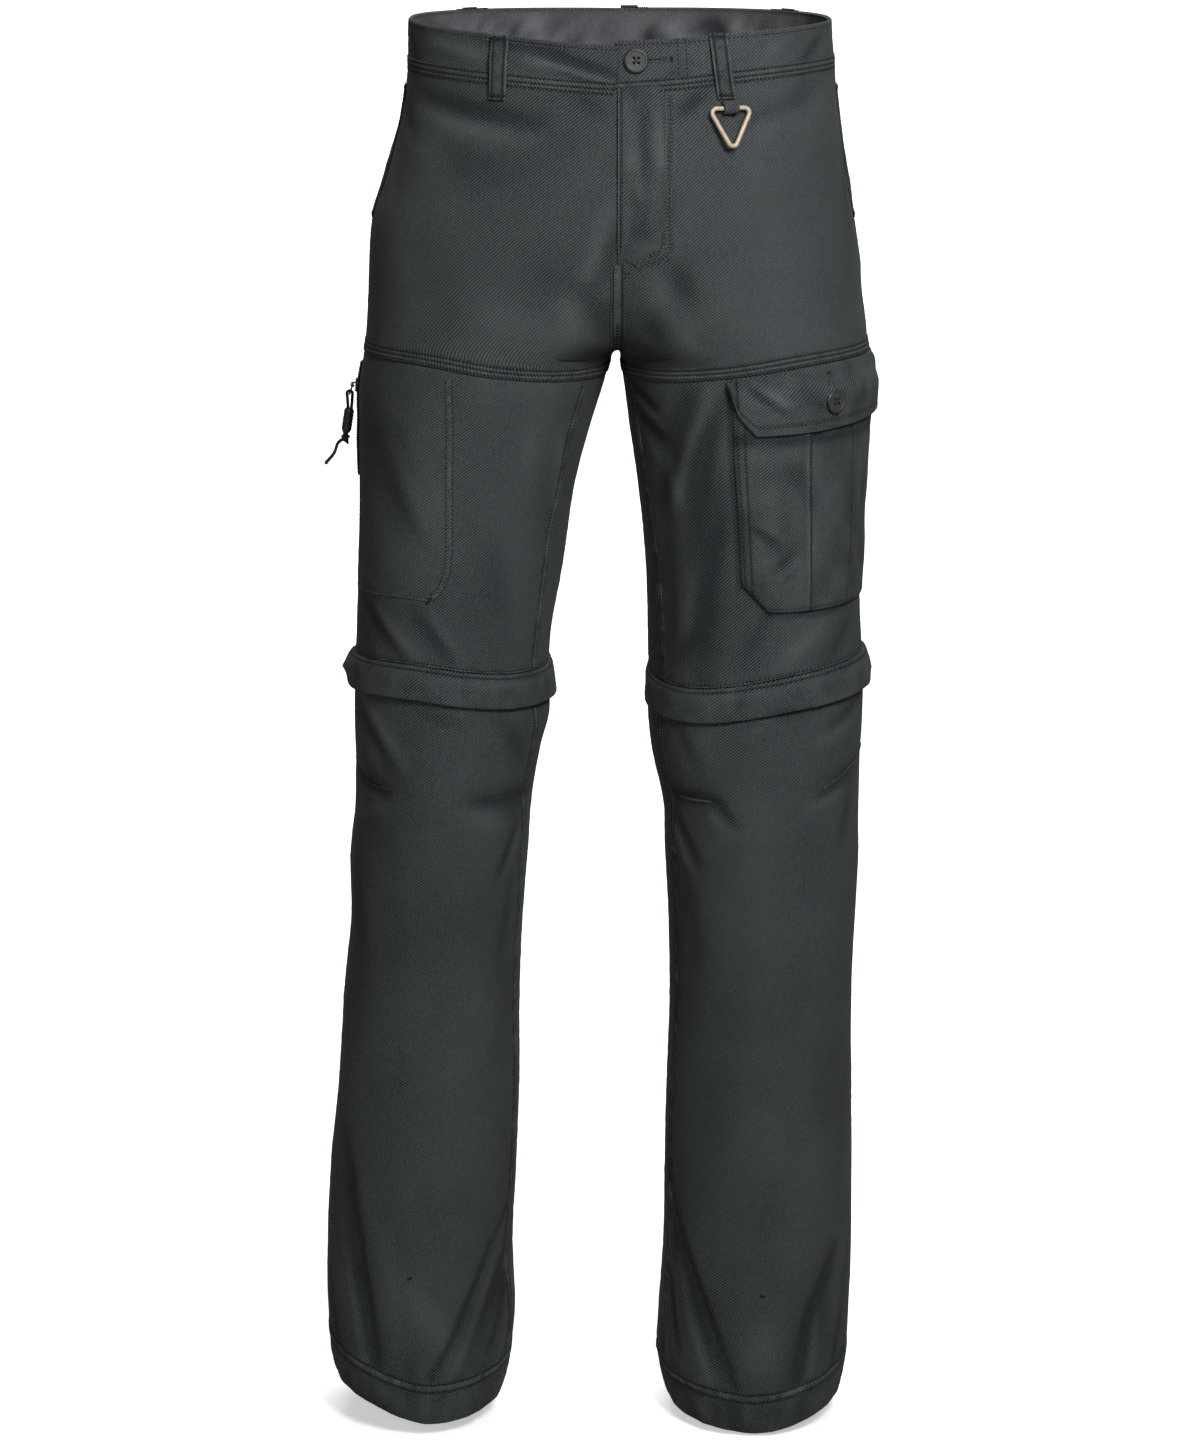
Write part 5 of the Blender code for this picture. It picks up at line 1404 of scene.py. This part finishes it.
def makeKneeFlaps():
    for side in (right, left):
        word = sideWord[side]
        groove = kneeFlap["groove"]
        shares = [0, 0.025, 0.07, groove, 0.15, 0.2, 0.3, 0.4, 0.5, 0.6, 0.7, 0.8, 0.88, 0.94, 0.98, 1.0]
        turn, share = np.meshgrid(np.linspace(0, 360, 171), shares)
        down, lift = kneeFlapGrid(side, turn, share)
        # uneven cloth, fading where the band closes on itself and where it is sewn on
        wobble = 0.45 * softNoise(turn / 7 + 11 * side, share * 2.2) + 0.5 * softNoise(turn / 17, share + 3)
        wobble = wobble * np.clip(np.minimum(turn, 360 - turn) / 12, 0, 1) * np.clip(share * 4, 0, 1)
        lift = lift - 0.5 * ridge(share, 0.03, groove) - 0.5 * (share < 0.01)
        lift = lift + wobble - 0.4 * ridge(share, 0.02, 1)
        # painted light across the middle of the cover, painted shade in its groove and along its top and
        # lower edges, and an uneven tone
        tone = (0.35 * ridge(share, 0.13, 0.3) - 1.3 * ridge(share, 0.03, groove)
                - 1.0 * (share < 0.01) - 0.8 * (share > 0.985) + 0.4 * softNoise(turn / 5 + 4, share * 2))
        piece = clothPiece("kneeFlap" + word, side, turn, down, lift, kneeFlap["cloth"], clothMaterial,
                           closed=True, ownShade=tone)
        isCloth(piece, nodes=["knee_flap_" + nodeWord[side]])
        rowShare = kneeFlap["rowIn"] / kneeFlap["height"]
        rowTurn = np.linspace(0.5, 359.5, 200)
        rowDown, rowLift = kneeFlapGrid(side, rowTurn, np.full(rowTurn.shape, rowShare))
        sewRow(side, np.stack([rowTurn, rowDown], -1),
               lambda t, d, lifts=rowLift, at=rowTurn: np.interp(t, at, lifts) - 0.25)

        # tape and coil of the zip
        knee = lineOf(kneeLine, side)
        turn, share = np.meshgrid(np.linspace(0, 360, 121), np.linspace(0, 1, 7))
        down = knee(turn) + seamGap + panels["kneeZip"] * share
        tape = clothPiece("kneeZipTape" + word, side, turn, down, -0.1, 1.2, zipTape, closed=True)
        isCloth(tape, nodes=["knee_zip_" + nodeWord[side]])
        teeth(side, [(t, float(knee(t)) + 6.0) for t in np.linspace(1, 359, 240)], "kneeZipCoil" + word, 0.2)


tooth = {"pitch": 1.9, "length": 1.15, "width": 4.2, "height": 1.2}


def teeth(side, points, name, lift):
    # one coil link is modelled, then copied along the zip
    turn, down = pathOn(side, points, tooth["pitch"], False)
    places, out = clothPoint(side, turn, down, lift), outwardAt(side, turn, down)
    along = unit(np.gradient(places, axis=0))
    across = np.cross(out, along)
    deselectAll()
    bpy.ops.mesh.primitive_cube_add(size=1)
    one = bpy.context.object
    one.scale = (tooth["width"], tooth["length"], tooth["height"])
    bpy.ops.object.transform_apply(location=False, rotation=False, scale=True)
    applyModifier(one, "BEVEL", width=0.3, segments=1)
    shape, faces = takeShape(one)
    points = (places[:, None] + across[:, None] * shape[None, :, :1] + along[:, None] * shape[None, :, 1:2]
              + out[:, None] * shape[None, :, 2:])
    joinedCopies(name, points, faces, zipCoilAndButtonShadow, 30)


makeKneeFlaps()
print("knee zips and covers made")


# zip of the thigh pocket
pocketZip = {"top": 256.0, "foot": 342.0, "width": 12.0}


def makePocketZip():
    down = np.linspace(pocketZip["top"], pocketZip["foot"], 40)
    across = np.array([-0.5, -0.47, -0.3, -0.15, 0, 0.15, 0.3, 0.47, 0.5])
    turn = 180 + degreesOf(right, 180.0, down, pocketZip["width"])[:, None] * across
    rise = 1.35 - 0.4 * (np.abs(across) > 0.48)
    tape = clothPiece("pocketZipTape", right, turn, down[:, None], rise, 1.4, zipTape)
    isCloth(tape, nodes=["pocket_zip"])
    teeth(right, [(180, d) for d in np.linspace(pocketZip["top"] + 1, pocketZip["foot"] - 1, 40)],
          "pocketZipCoil", 1.5)
    for sign in (-1, 1):
        row = 180 + degreesOf(right, 180.0, down, pocketZip["width"] * 0.42) * sign
        sewRow(right, np.stack([row, down], -1), 1.42)


makePocketZip()


# buttons: a turned disc with a raised rim, a dished middle and four holes, and its threads
# in "rings" the rim widens, rises, rounds over and falls into the middle: growth and rise of each step
button = {"diameter": 17.4, "hole": 0.125, "spread": 0.19, "thread": 0.22,
          "rings": [(1.11, 0.5), (1.0, 0.7), (0.90, 0.55), (0.97, 0.02), (0.87, 0.0), (0.965, -0.35),
                    (0.94, -0.03), (0.70, 0.0)]}


def plainFrame(side, turn, down, lift):
    # place, outward, downward and sideways on the form with only its main folds, where the CAD's solids sit
    turn, down = np.float64(turn), np.float64(down)
    out = outwardAt(side, turn, down)
    place = rawPoint(side, turn, down) + out * (foldsAt(mainFolds, side, turn, down) + lift)
    below = unit(np.array([0.0, 0.0, -1.0]) + out * out[2])
    return place, out, below, np.cross(below, out)


def placeMesh(piece, place, out, beside):
    # turns a piece modelled flat, with its face up, onto the cloth, and keeps the place in its mesh
    other = np.cross(out, beside)
    points = np.zeros(len(piece.data.vertices) * 3)
    piece.data.vertices.foreach_get("co", points)
    points = points.reshape(-1, 3)
    placed = place + points[:, :1] * beside + points[:, 1:2] * other + points[:, 2:] * out
    piece.data.vertices.foreach_set("co", (placed * mm).ravel())
    piece.data.update()


def buttonPiece(name, place, out, beside, cadNode):
    radius = button["diameter"] / 2
    deselectAll()
    bpy.ops.mesh.primitive_cylinder_add(vertices=64, radius=radius * 0.9, depth=1.0, location=(0, 0, 0.5))
    piece = bpy.context.object
    piece.name = piece.data.name = name
    bpy.ops.object.transform_apply(location=True)
    bpy.ops.object.mode_set(mode="EDIT")
    bpy.ops.mesh.select_all(action="DESELECT")
    bpy.ops.object.mode_set(mode="OBJECT")
    for face in piece.data.polygons:
        face.select = face.normal.z > 0.9
    bpy.ops.object.mode_set(mode="EDIT")
    bpy.ops.mesh.select_mode(type="FACE")
    for grow, lift in button["rings"]:
        bpy.ops.mesh.extrude_region_move(TRANSFORM_OT_translate={"value": (0, 0, lift)})
        bpy.ops.transform.resize(value=(grow, grow, 1), center_override=(0, 0, 0))
    bpy.ops.object.mode_set(mode="OBJECT")
    hole, spread = radius * button["hole"], radius * button["spread"]
    for x, y in ((1, 1), (1, -1), (-1, 1), (-1, -1)):
        deselectAll()
        bpy.ops.mesh.primitive_cylinder_add(vertices=20, radius=hole, depth=12,
                                            location=(x * spread, y * spread, 1))
        cutter = bpy.context.object
        applyModifier(piece, "BOOLEAN", operation="DIFFERENCE", object=cutter)
        bpy.data.objects.remove(cutter)
    applyModifier(piece, "BEVEL", width=0.09, segments=2, limit_method="ANGLE", angle_limit=math.radians(50))
    placeMesh(piece, place, out, beside)
    finish(piece, buttonResin, 35)
    piece.data.materials.append(zipCoilAndButtonShadow)
    for face in piece.data.polygons:
        spoke = np.array(face.center) / mm - place
        aside = np.linalg.norm(spoke - out * (spoke @ out))
        # the rim's flank takes the dark coil resin, a painted shadow round the button
        if aside > radius * 0.9 and np.array(face.normal) @ out < 0.93:
            face.material_index = 1
    isHard(piece, [cadNode])
    # thread through the holes, crossed
    other = np.cross(out, beside)
    top = place + out * 2.1
    for x, y in ((1, 1), (1, -1)):
        a = top + (beside * x + other * y) * spread
        b = top - (beside * x + other * y) * spread
        for letter, sign in (("a", -1), ("b", 1)):
            nudge = (beside * y - other * x) * button["thread"] * sign
            route = [a + nudge - out * 0.9, a + nudge + out * 0.1, (a + b) / 2 + nudge + out * 0.28,
                     b + nudge + out * 0.1, b + nudge - out * 0.9]
            strand = tubeMesh(name + "Thread" + str(x) + str(y + 2) + letter, route, button["thread"], 8,
                              threadDark)
            isHard(strand)


def makeButtons():
    place, out, _, across = plainFrame(left, 94.6, 21.0, 0.5)
    buttonPiece("waistButton", place, out, across, "waist_button")
    seamBand("waistButtonhole", left, [(96.5, 20.9), (99.5, 20.4), (103.4, 19.9)], (0.0,), 2.3, raised=0.5,
             pucker=0.1, smooth=False)
    for shift in (-1.5, 1.5):
        sewRow(left, [(98.0, 20.7 + shift), (100.5, 20.3 + shift), (103.2, 19.9 + shift)], 0.3, pitch=1.4)
    bartack(left, (103.7, 18.0), (103.7, 21.8), 0.3)
    low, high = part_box("cargo_button")
    centre = np.array((low + high) / 2) / mm
    # it lies as the flap does: four places round it give its tilt
    turns = cargoButton["turn"] + cargoButton["reach"] * np.array([-1, 1, 0, 0])
    downs = cargoButton["down"] + cargoButton["reach"] * np.array([0, 0, -1, 1])
    lift = plainFlapLift(turns, downs)[0][:, None]
    front, back, upper, lower = rawPoint(left, turns, downs) + outwardAt(left, turns, downs) * lift
    out = unit(np.cross(lower - upper, back - front))
    buttonPiece("cargoButton", centre - out * 1.4, out, unit(back - front), "cargo_button")


makeButtons()
print("buttons made")


# triangular ring on its tape
ring = {"turn": 117.6, "down": 55.5, "wire": 3.5, "halfTop": 16.3, "height": 31.0, "corner": 3.4, "tilt": 7.0}


def roundedLoop(corners, radius, count):
    path = []
    for i, corner in enumerate(corners):
        before = corners[i - 1] - corner
        after = corners[(i + 1) % len(corners)] - corner
        before, after = unit(before), unit(after)
        half = math.acos(np.clip(before @ after, -1, 1)) / 2
        first, last = corner + before * radius / math.tan(half), corner + after * radius / math.tan(half)
        middle = corner + unit(before + after) * radius / math.sin(half)
        for t in np.linspace(0, 1, count):
            spoke = (first - middle) * (1 - t) + (last - middle) * t
            path.append(middle + unit(spoke) * radius)
    return path


def makeRing():
    place, out, below, across = plainFrame(left, ring["turn"], ring["down"], 0.0)
    inner = ring["wire"] / 2 + 0.35
    outer = inner + 1.1
    pivot = place + out * (outer + 0.6)
    tilt = math.radians(ring["tilt"])
    fall = below * math.cos(tilt) + out * math.sin(tilt)
    corners = [pivot + across * ring["halfTop"], pivot - across * ring["halfTop"],
               pivot + fall * ring["height"]]
    loopPath = roundedLoop(corners, ring["corner"], 14)
    piece = tubeMesh("keyRing", loopPath, ring["wire"] / 2, 24, antiqueBrass, closed=True)
    isHard(piece, ["ring"], "key_ring")

    # the tape: a narrow strip folded round the ring's top bar, its ends sewn under the belt loop
    rise, halfWidth = 5.2, 5.6
    # the tape's way round the bar: outward and downward from it
    line = [(-1.3, -rise), (-1.6, -rise * 0.6)]
    line += [(outer * math.cos(a), outer * math.sin(a)) for a in np.radians(np.linspace(180, 0, 19))]
    line += [(1.6, -rise * 0.6), (1.25, -rise)]
    rail = np.array([pivot + out * a + below * b for a, b in line])
    spread = np.array([-1, -0.92, -0.7, -0.35, 0, 0.35, 0.7, 0.92, 1]) * halfWidth
    grid = rail[:, None] + across * spread[None, :, None]
    piece, column, row = gridPiece("ringTape", len(line), len(spread))
    lengths = lengthsAlong(rail)
    setShape(piece, grid[row, column], np.stack([spread[column], lengths[row]], -1))
    applyModifier(piece, "SOLIDIFY", thickness=1.1 * mm, offset=1)
    finish(piece, trimMaterial)
    width, length = 2 * halfWidth * mm, float(lengths[-1]) * mm
    piece["cut"] = (width, length, width * length)
    isCloth(piece, nodes=["ring_tape"])


makeRing()


# pull of the thigh zip: wire loop, folded cord, grip and knot
pull = {"slider": 274.0, "hook": 3.4, "tilt": 15.0, "half": 3.5, "length": 7.5, "wire": 1.5, "cord": 2.4,
        "gripTop": (-201.2, -291.5), "gripFoot": (-204.2, -310.5), "tail": (-219.5, -333.5)}


def turnedPiece(name, profile, middle, axis, beside, material, sides=32):
    # a turned shape: radius and height pairs swept round an axis, its poles closed
    other = np.cross(axis, beside)
    angle = np.linspace(0, 2 * math.pi, sides + 1)
    profile = np.array(profile, float)
    radius = np.maximum(profile[:, 0], 0.001)
    spokes = np.cos(angle)[None, :, None] * beside + np.sin(angle)[None, :, None] * other
    grid = middle + axis * profile[:, 1][:, None, None] + radius[:, None, None] * spokes
    piece, column, row = gridPiece(name, len(profile), sides + 1)
    setShape(piece, grid[row, column], np.stack([angle[column] * 3.0, profile[row, 1]], -1))
    cleanAll(piece, merge=0.005)
    finish(piece, material, 60)
    return piece


def smoothRoute(points, count):
    points = np.asarray(points, float)
    lengths = lengthsAlong(points)
    at = np.linspace(0, lengths[-1], count)
    return np.stack([smoothValue(lengths, points[:, i], at) for i in range(3)], -1)


def makePull():
    place, out, below, across = plainFrame(right, 180.0, pull["slider"], 1.8)
    pivot = place + out * pull["hook"]
    tilt = math.radians(pull["tilt"])
    fall = below * math.cos(tilt) + out * math.sin(tilt)
    corners = [pivot - across * pull["half"], pivot + across * pull["half"],
               pivot + across * pull["half"] + fall * pull["length"],
               pivot - across * pull["half"] + fall * pull["length"]]
    wireLoop = tubeMesh("pullLoop", roundedLoop(corners, 1.4, 8), pull["wire"] / 2, 16, darkMetal, True)
    isHard(wireLoop, ["pull_loop"], "zip_pull")

    bar = pivot + fall * pull["length"]
    gripTop, gripFoot, tail = (np.array([pull[key][0], bar[1], pull[key][1]])
                               for key in ("gripTop", "gripFoot", "tail"))
    lean = unit(gripFoot - gripTop)
    beside = np.cross(lean, across)
    length = np.linalg.norm(gripFoot - gripTop)
    clear = pull["wire"] / 2 + pull["cord"] / 2 + 0.2
    turn = [bar - clear * (beside * math.cos(a) + lean * math.sin(a))
            for a in np.radians(np.linspace(0, 180, 13))]
    overBar = tubeMesh("pullCordTurn", turn, pull["cord"] / 2, 12, cordMaterial)
    isHard(overBar, body="zip_pull")

    profile = [(0, 0), (2.2, 0), (2.9, 0.4), (3.3, 1.4)]
    for rib in range(6):
        start = 2.2 + rib * (length - 4.4) / 6
        profile += [(3.75, start), (3.9, start + 0.8), (3.9, start + 1.4), (3.55, start + 2.0)]
    profile += [(3.3, length - 1.4), (2.8, length - 0.4), (2.1, length), (0, length)]
    grip = turnedPiece("pullGrip", profile, gripTop, lean, across, gripRubber)
    isHard(grip, ["pull_grip"], "zip_pull")

    # the knot: two wraps of cord round both strands
    knotPath = []
    wound = 4.5 * math.pi
    for a in np.linspace(0, wound, 60):
        swell = 2.1 + 0.35 * math.sin(a * 1.5)
        knotPath.append(gripFoot + lean * (1.8 + 5.4 * a / wound + 0.5 * math.sin(a))
                        + (across * math.cos(a) + beside * math.sin(a)) * swell)
    knot = tubeMesh("pullKnot", knotPath, 1.15, 10, cordMaterial)
    isHard(knot, ["pull_knot"], "zip_pull")

    for name, sign, nodes in (("pullCordFront", -1, ["pull_cord_tail_a", "pull_cord_loop"]),
                              ("pullCordBack", 1, ["pull_cord_tail_b"])):
        offset = 1.5 * sign
        strandTop = bar + sign * clear * beside
        start = gripFoot + lean * 8.0 - beside * 4.4 + across * offset
        middle = (start + tail + across * offset) / 2 + beside * 1.5
        route = [strandTop, gripTop + sign * beside * 1.35 - lean * 0.5,
                 gripTop + sign * beside * 1.15 + lean * 6,
                 gripFoot + sign * beside * 1.1 - lean * 2,
                 gripFoot + lean * 5 - beside * 1.5 + across * offset * 0.6,
                 start, middle, tail + across * offset * 1.3]
        path = smoothRoute(route, 30)
        strand = tubeMesh(name, path, pull["cord"] / 2, 12, cordMaterial)
        isHard(strand, nodes, "zip_pull")
        # the melted tip
        tipAxis = unit(path[-1] - path[-2])
        tipBeside = unit(np.cross(tipAxis, np.array([0.0, 1.0, 0.0])))
        melted = [(0, -1.6), (1.25, -1.6), (1.38, -0.6), (1.3, 0.4), (0.8, 1.0), (0, 1.2)]
        tip = turnedPiece(name + "Tip", melted, path[-1], tipAxis, tipBeside, gripRubber, 14)
        isHard(tip, body="zip_pull")


makePull()
for slider in ("pocket_slider", "knee_slider_right", "knee_slider_left"):
    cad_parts[slider].data.materials.clear()
    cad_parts[slider].data.materials.append(darkMetal)
print("ring and pull made")

buildStitches()


# floor, backdrop and studio light
studio = {"floorDown": -1.0975, "halfWidth": 2.2, "front": -2.6, "back": 2.6, "bend": 1.6, "wall": 0.2,
          "airLight": 0.02, "bounce": 0.34, "glow": 0.5}


def makeStage():
    deselectAll()
    bpy.ops.mesh.primitive_grid_add(x_subdivisions=2, y_subdivisions=30, size=1)
    floor = bpy.context.object
    floor.name = "studioSweep"
    profile = [(studio["front"], 0), (studio["front"] / 2, 0), (0, 0), (studio["back"], 0)]
    for a in np.radians(np.linspace(0, 90, 22))[1:]:
        profile.append((studio["back"] + studio["bend"] * math.sin(a), studio["bend"] * (1 - math.cos(a))))
    wallAt = studio["back"] + studio["bend"]
    profile += [(wallAt, studio["bend"] + studio["wall"] * t) for t in (0.2, 0.5, 0.75, 1.0)]
    profile = np.array(profile)
    at = np.linspace(0, len(profile) - 1, 31)
    for vertex in floor.data.vertices:
        row = int(round((vertex.co.y + 0.5) * 30))
        y, z = (np.interp(at[row], range(len(profile)), profile[:, i]) for i in (0, 1))
        vertex.co = (vertex.co.x * 2 * studio["halfWidth"], y, z + studio["floorDown"])
    made, tree, shader = startMaterial("palePaper", {"Roughness": 0.9, "Specular IOR Level": 0.1})
    place = objectPlace(tree)
    cloud = noiseOf(tree, place, 3.0, 2)
    paper = mixColours(tree, cloud, (0.86, 0.86, 0.86), (0.90, 0.90, 0.90))
    # flagged off from the cloth: it looks white and throws little light back
    seen = node(tree, "ShaderNodeLightPath").outputs["Is Camera Ray"]
    shown = node(tree, "ShaderNodeMix", data_type="RGBA")
    shown.inputs["A"].default_value = (*[studio["bounce"]] * 3, 1)
    tree.links.new(paper, shown.inputs["B"])
    tree.links.new(seen, shown.inputs["Factor"])
    tree.links.new(shown.outputs["Result"], shader.inputs["Base Color"])
    # and it glows a little for the eye only, which keeps its shadow pale
    glow = mathNode(tree, "MULTIPLY", seen, studio["glow"])
    shader.inputs["Emission Color"].default_value = (1, 1, 1, 1)
    tree.links.new(glow, shader.inputs["Emission Strength"])
    finish(floor, made)


# name, place, aim, width, power
lights = [
    ("keySoftbox", (0.66, -1.70, 0.95), (0, 0, -0.05), 0.7, 52),
    ("fillSoftbox", (-1.3, -2.7, 0.7), (0, 0, -0.3), 1.2, 14.5),
    ("floorWash", (0, 2.5, 2.2), (0, 2.3, -1.1), 3.0, 150),
    ("insideWash", (0, 0.35, 1.6), (0, 0.02, -0.1), 0.8, 1.8),
]


def makeLights():
    for name, place, target, width, power in lights:
        aim = (Vector(target) - Vector(place)).to_track_quat("-Z", "Y")
        bpy.ops.object.light_add(type="AREA", location=place, rotation=aim.to_euler())
        lamp = bpy.context.object
        lamp.name = name
        lamp.data.shape = "SQUARE"
        lamp.data.size = width
        lamp.data.energy = power
    world = bpy.data.worlds.new("studioAir")
    world.use_nodes = True
    air = world.node_tree.nodes["Background"]
    air.inputs["Color"].default_value = (1, 1, 1, 1)
    # the air looks white and lights the cloth a little
    path = world.node_tree.nodes.new("ShaderNodeLightPath")
    seen = world.node_tree.nodes.new("ShaderNodeMapRange")
    seen.inputs["To Min"].default_value = studio["airLight"]
    world.node_tree.links.new(path.outputs["Is Camera Ray"], seen.inputs["Value"])
    world.node_tree.links.new(seen.outputs["Result"], air.inputs["Strength"])
    bpy.context.scene.world = world


makeStage()
makeLights()
print("stage and lights made")
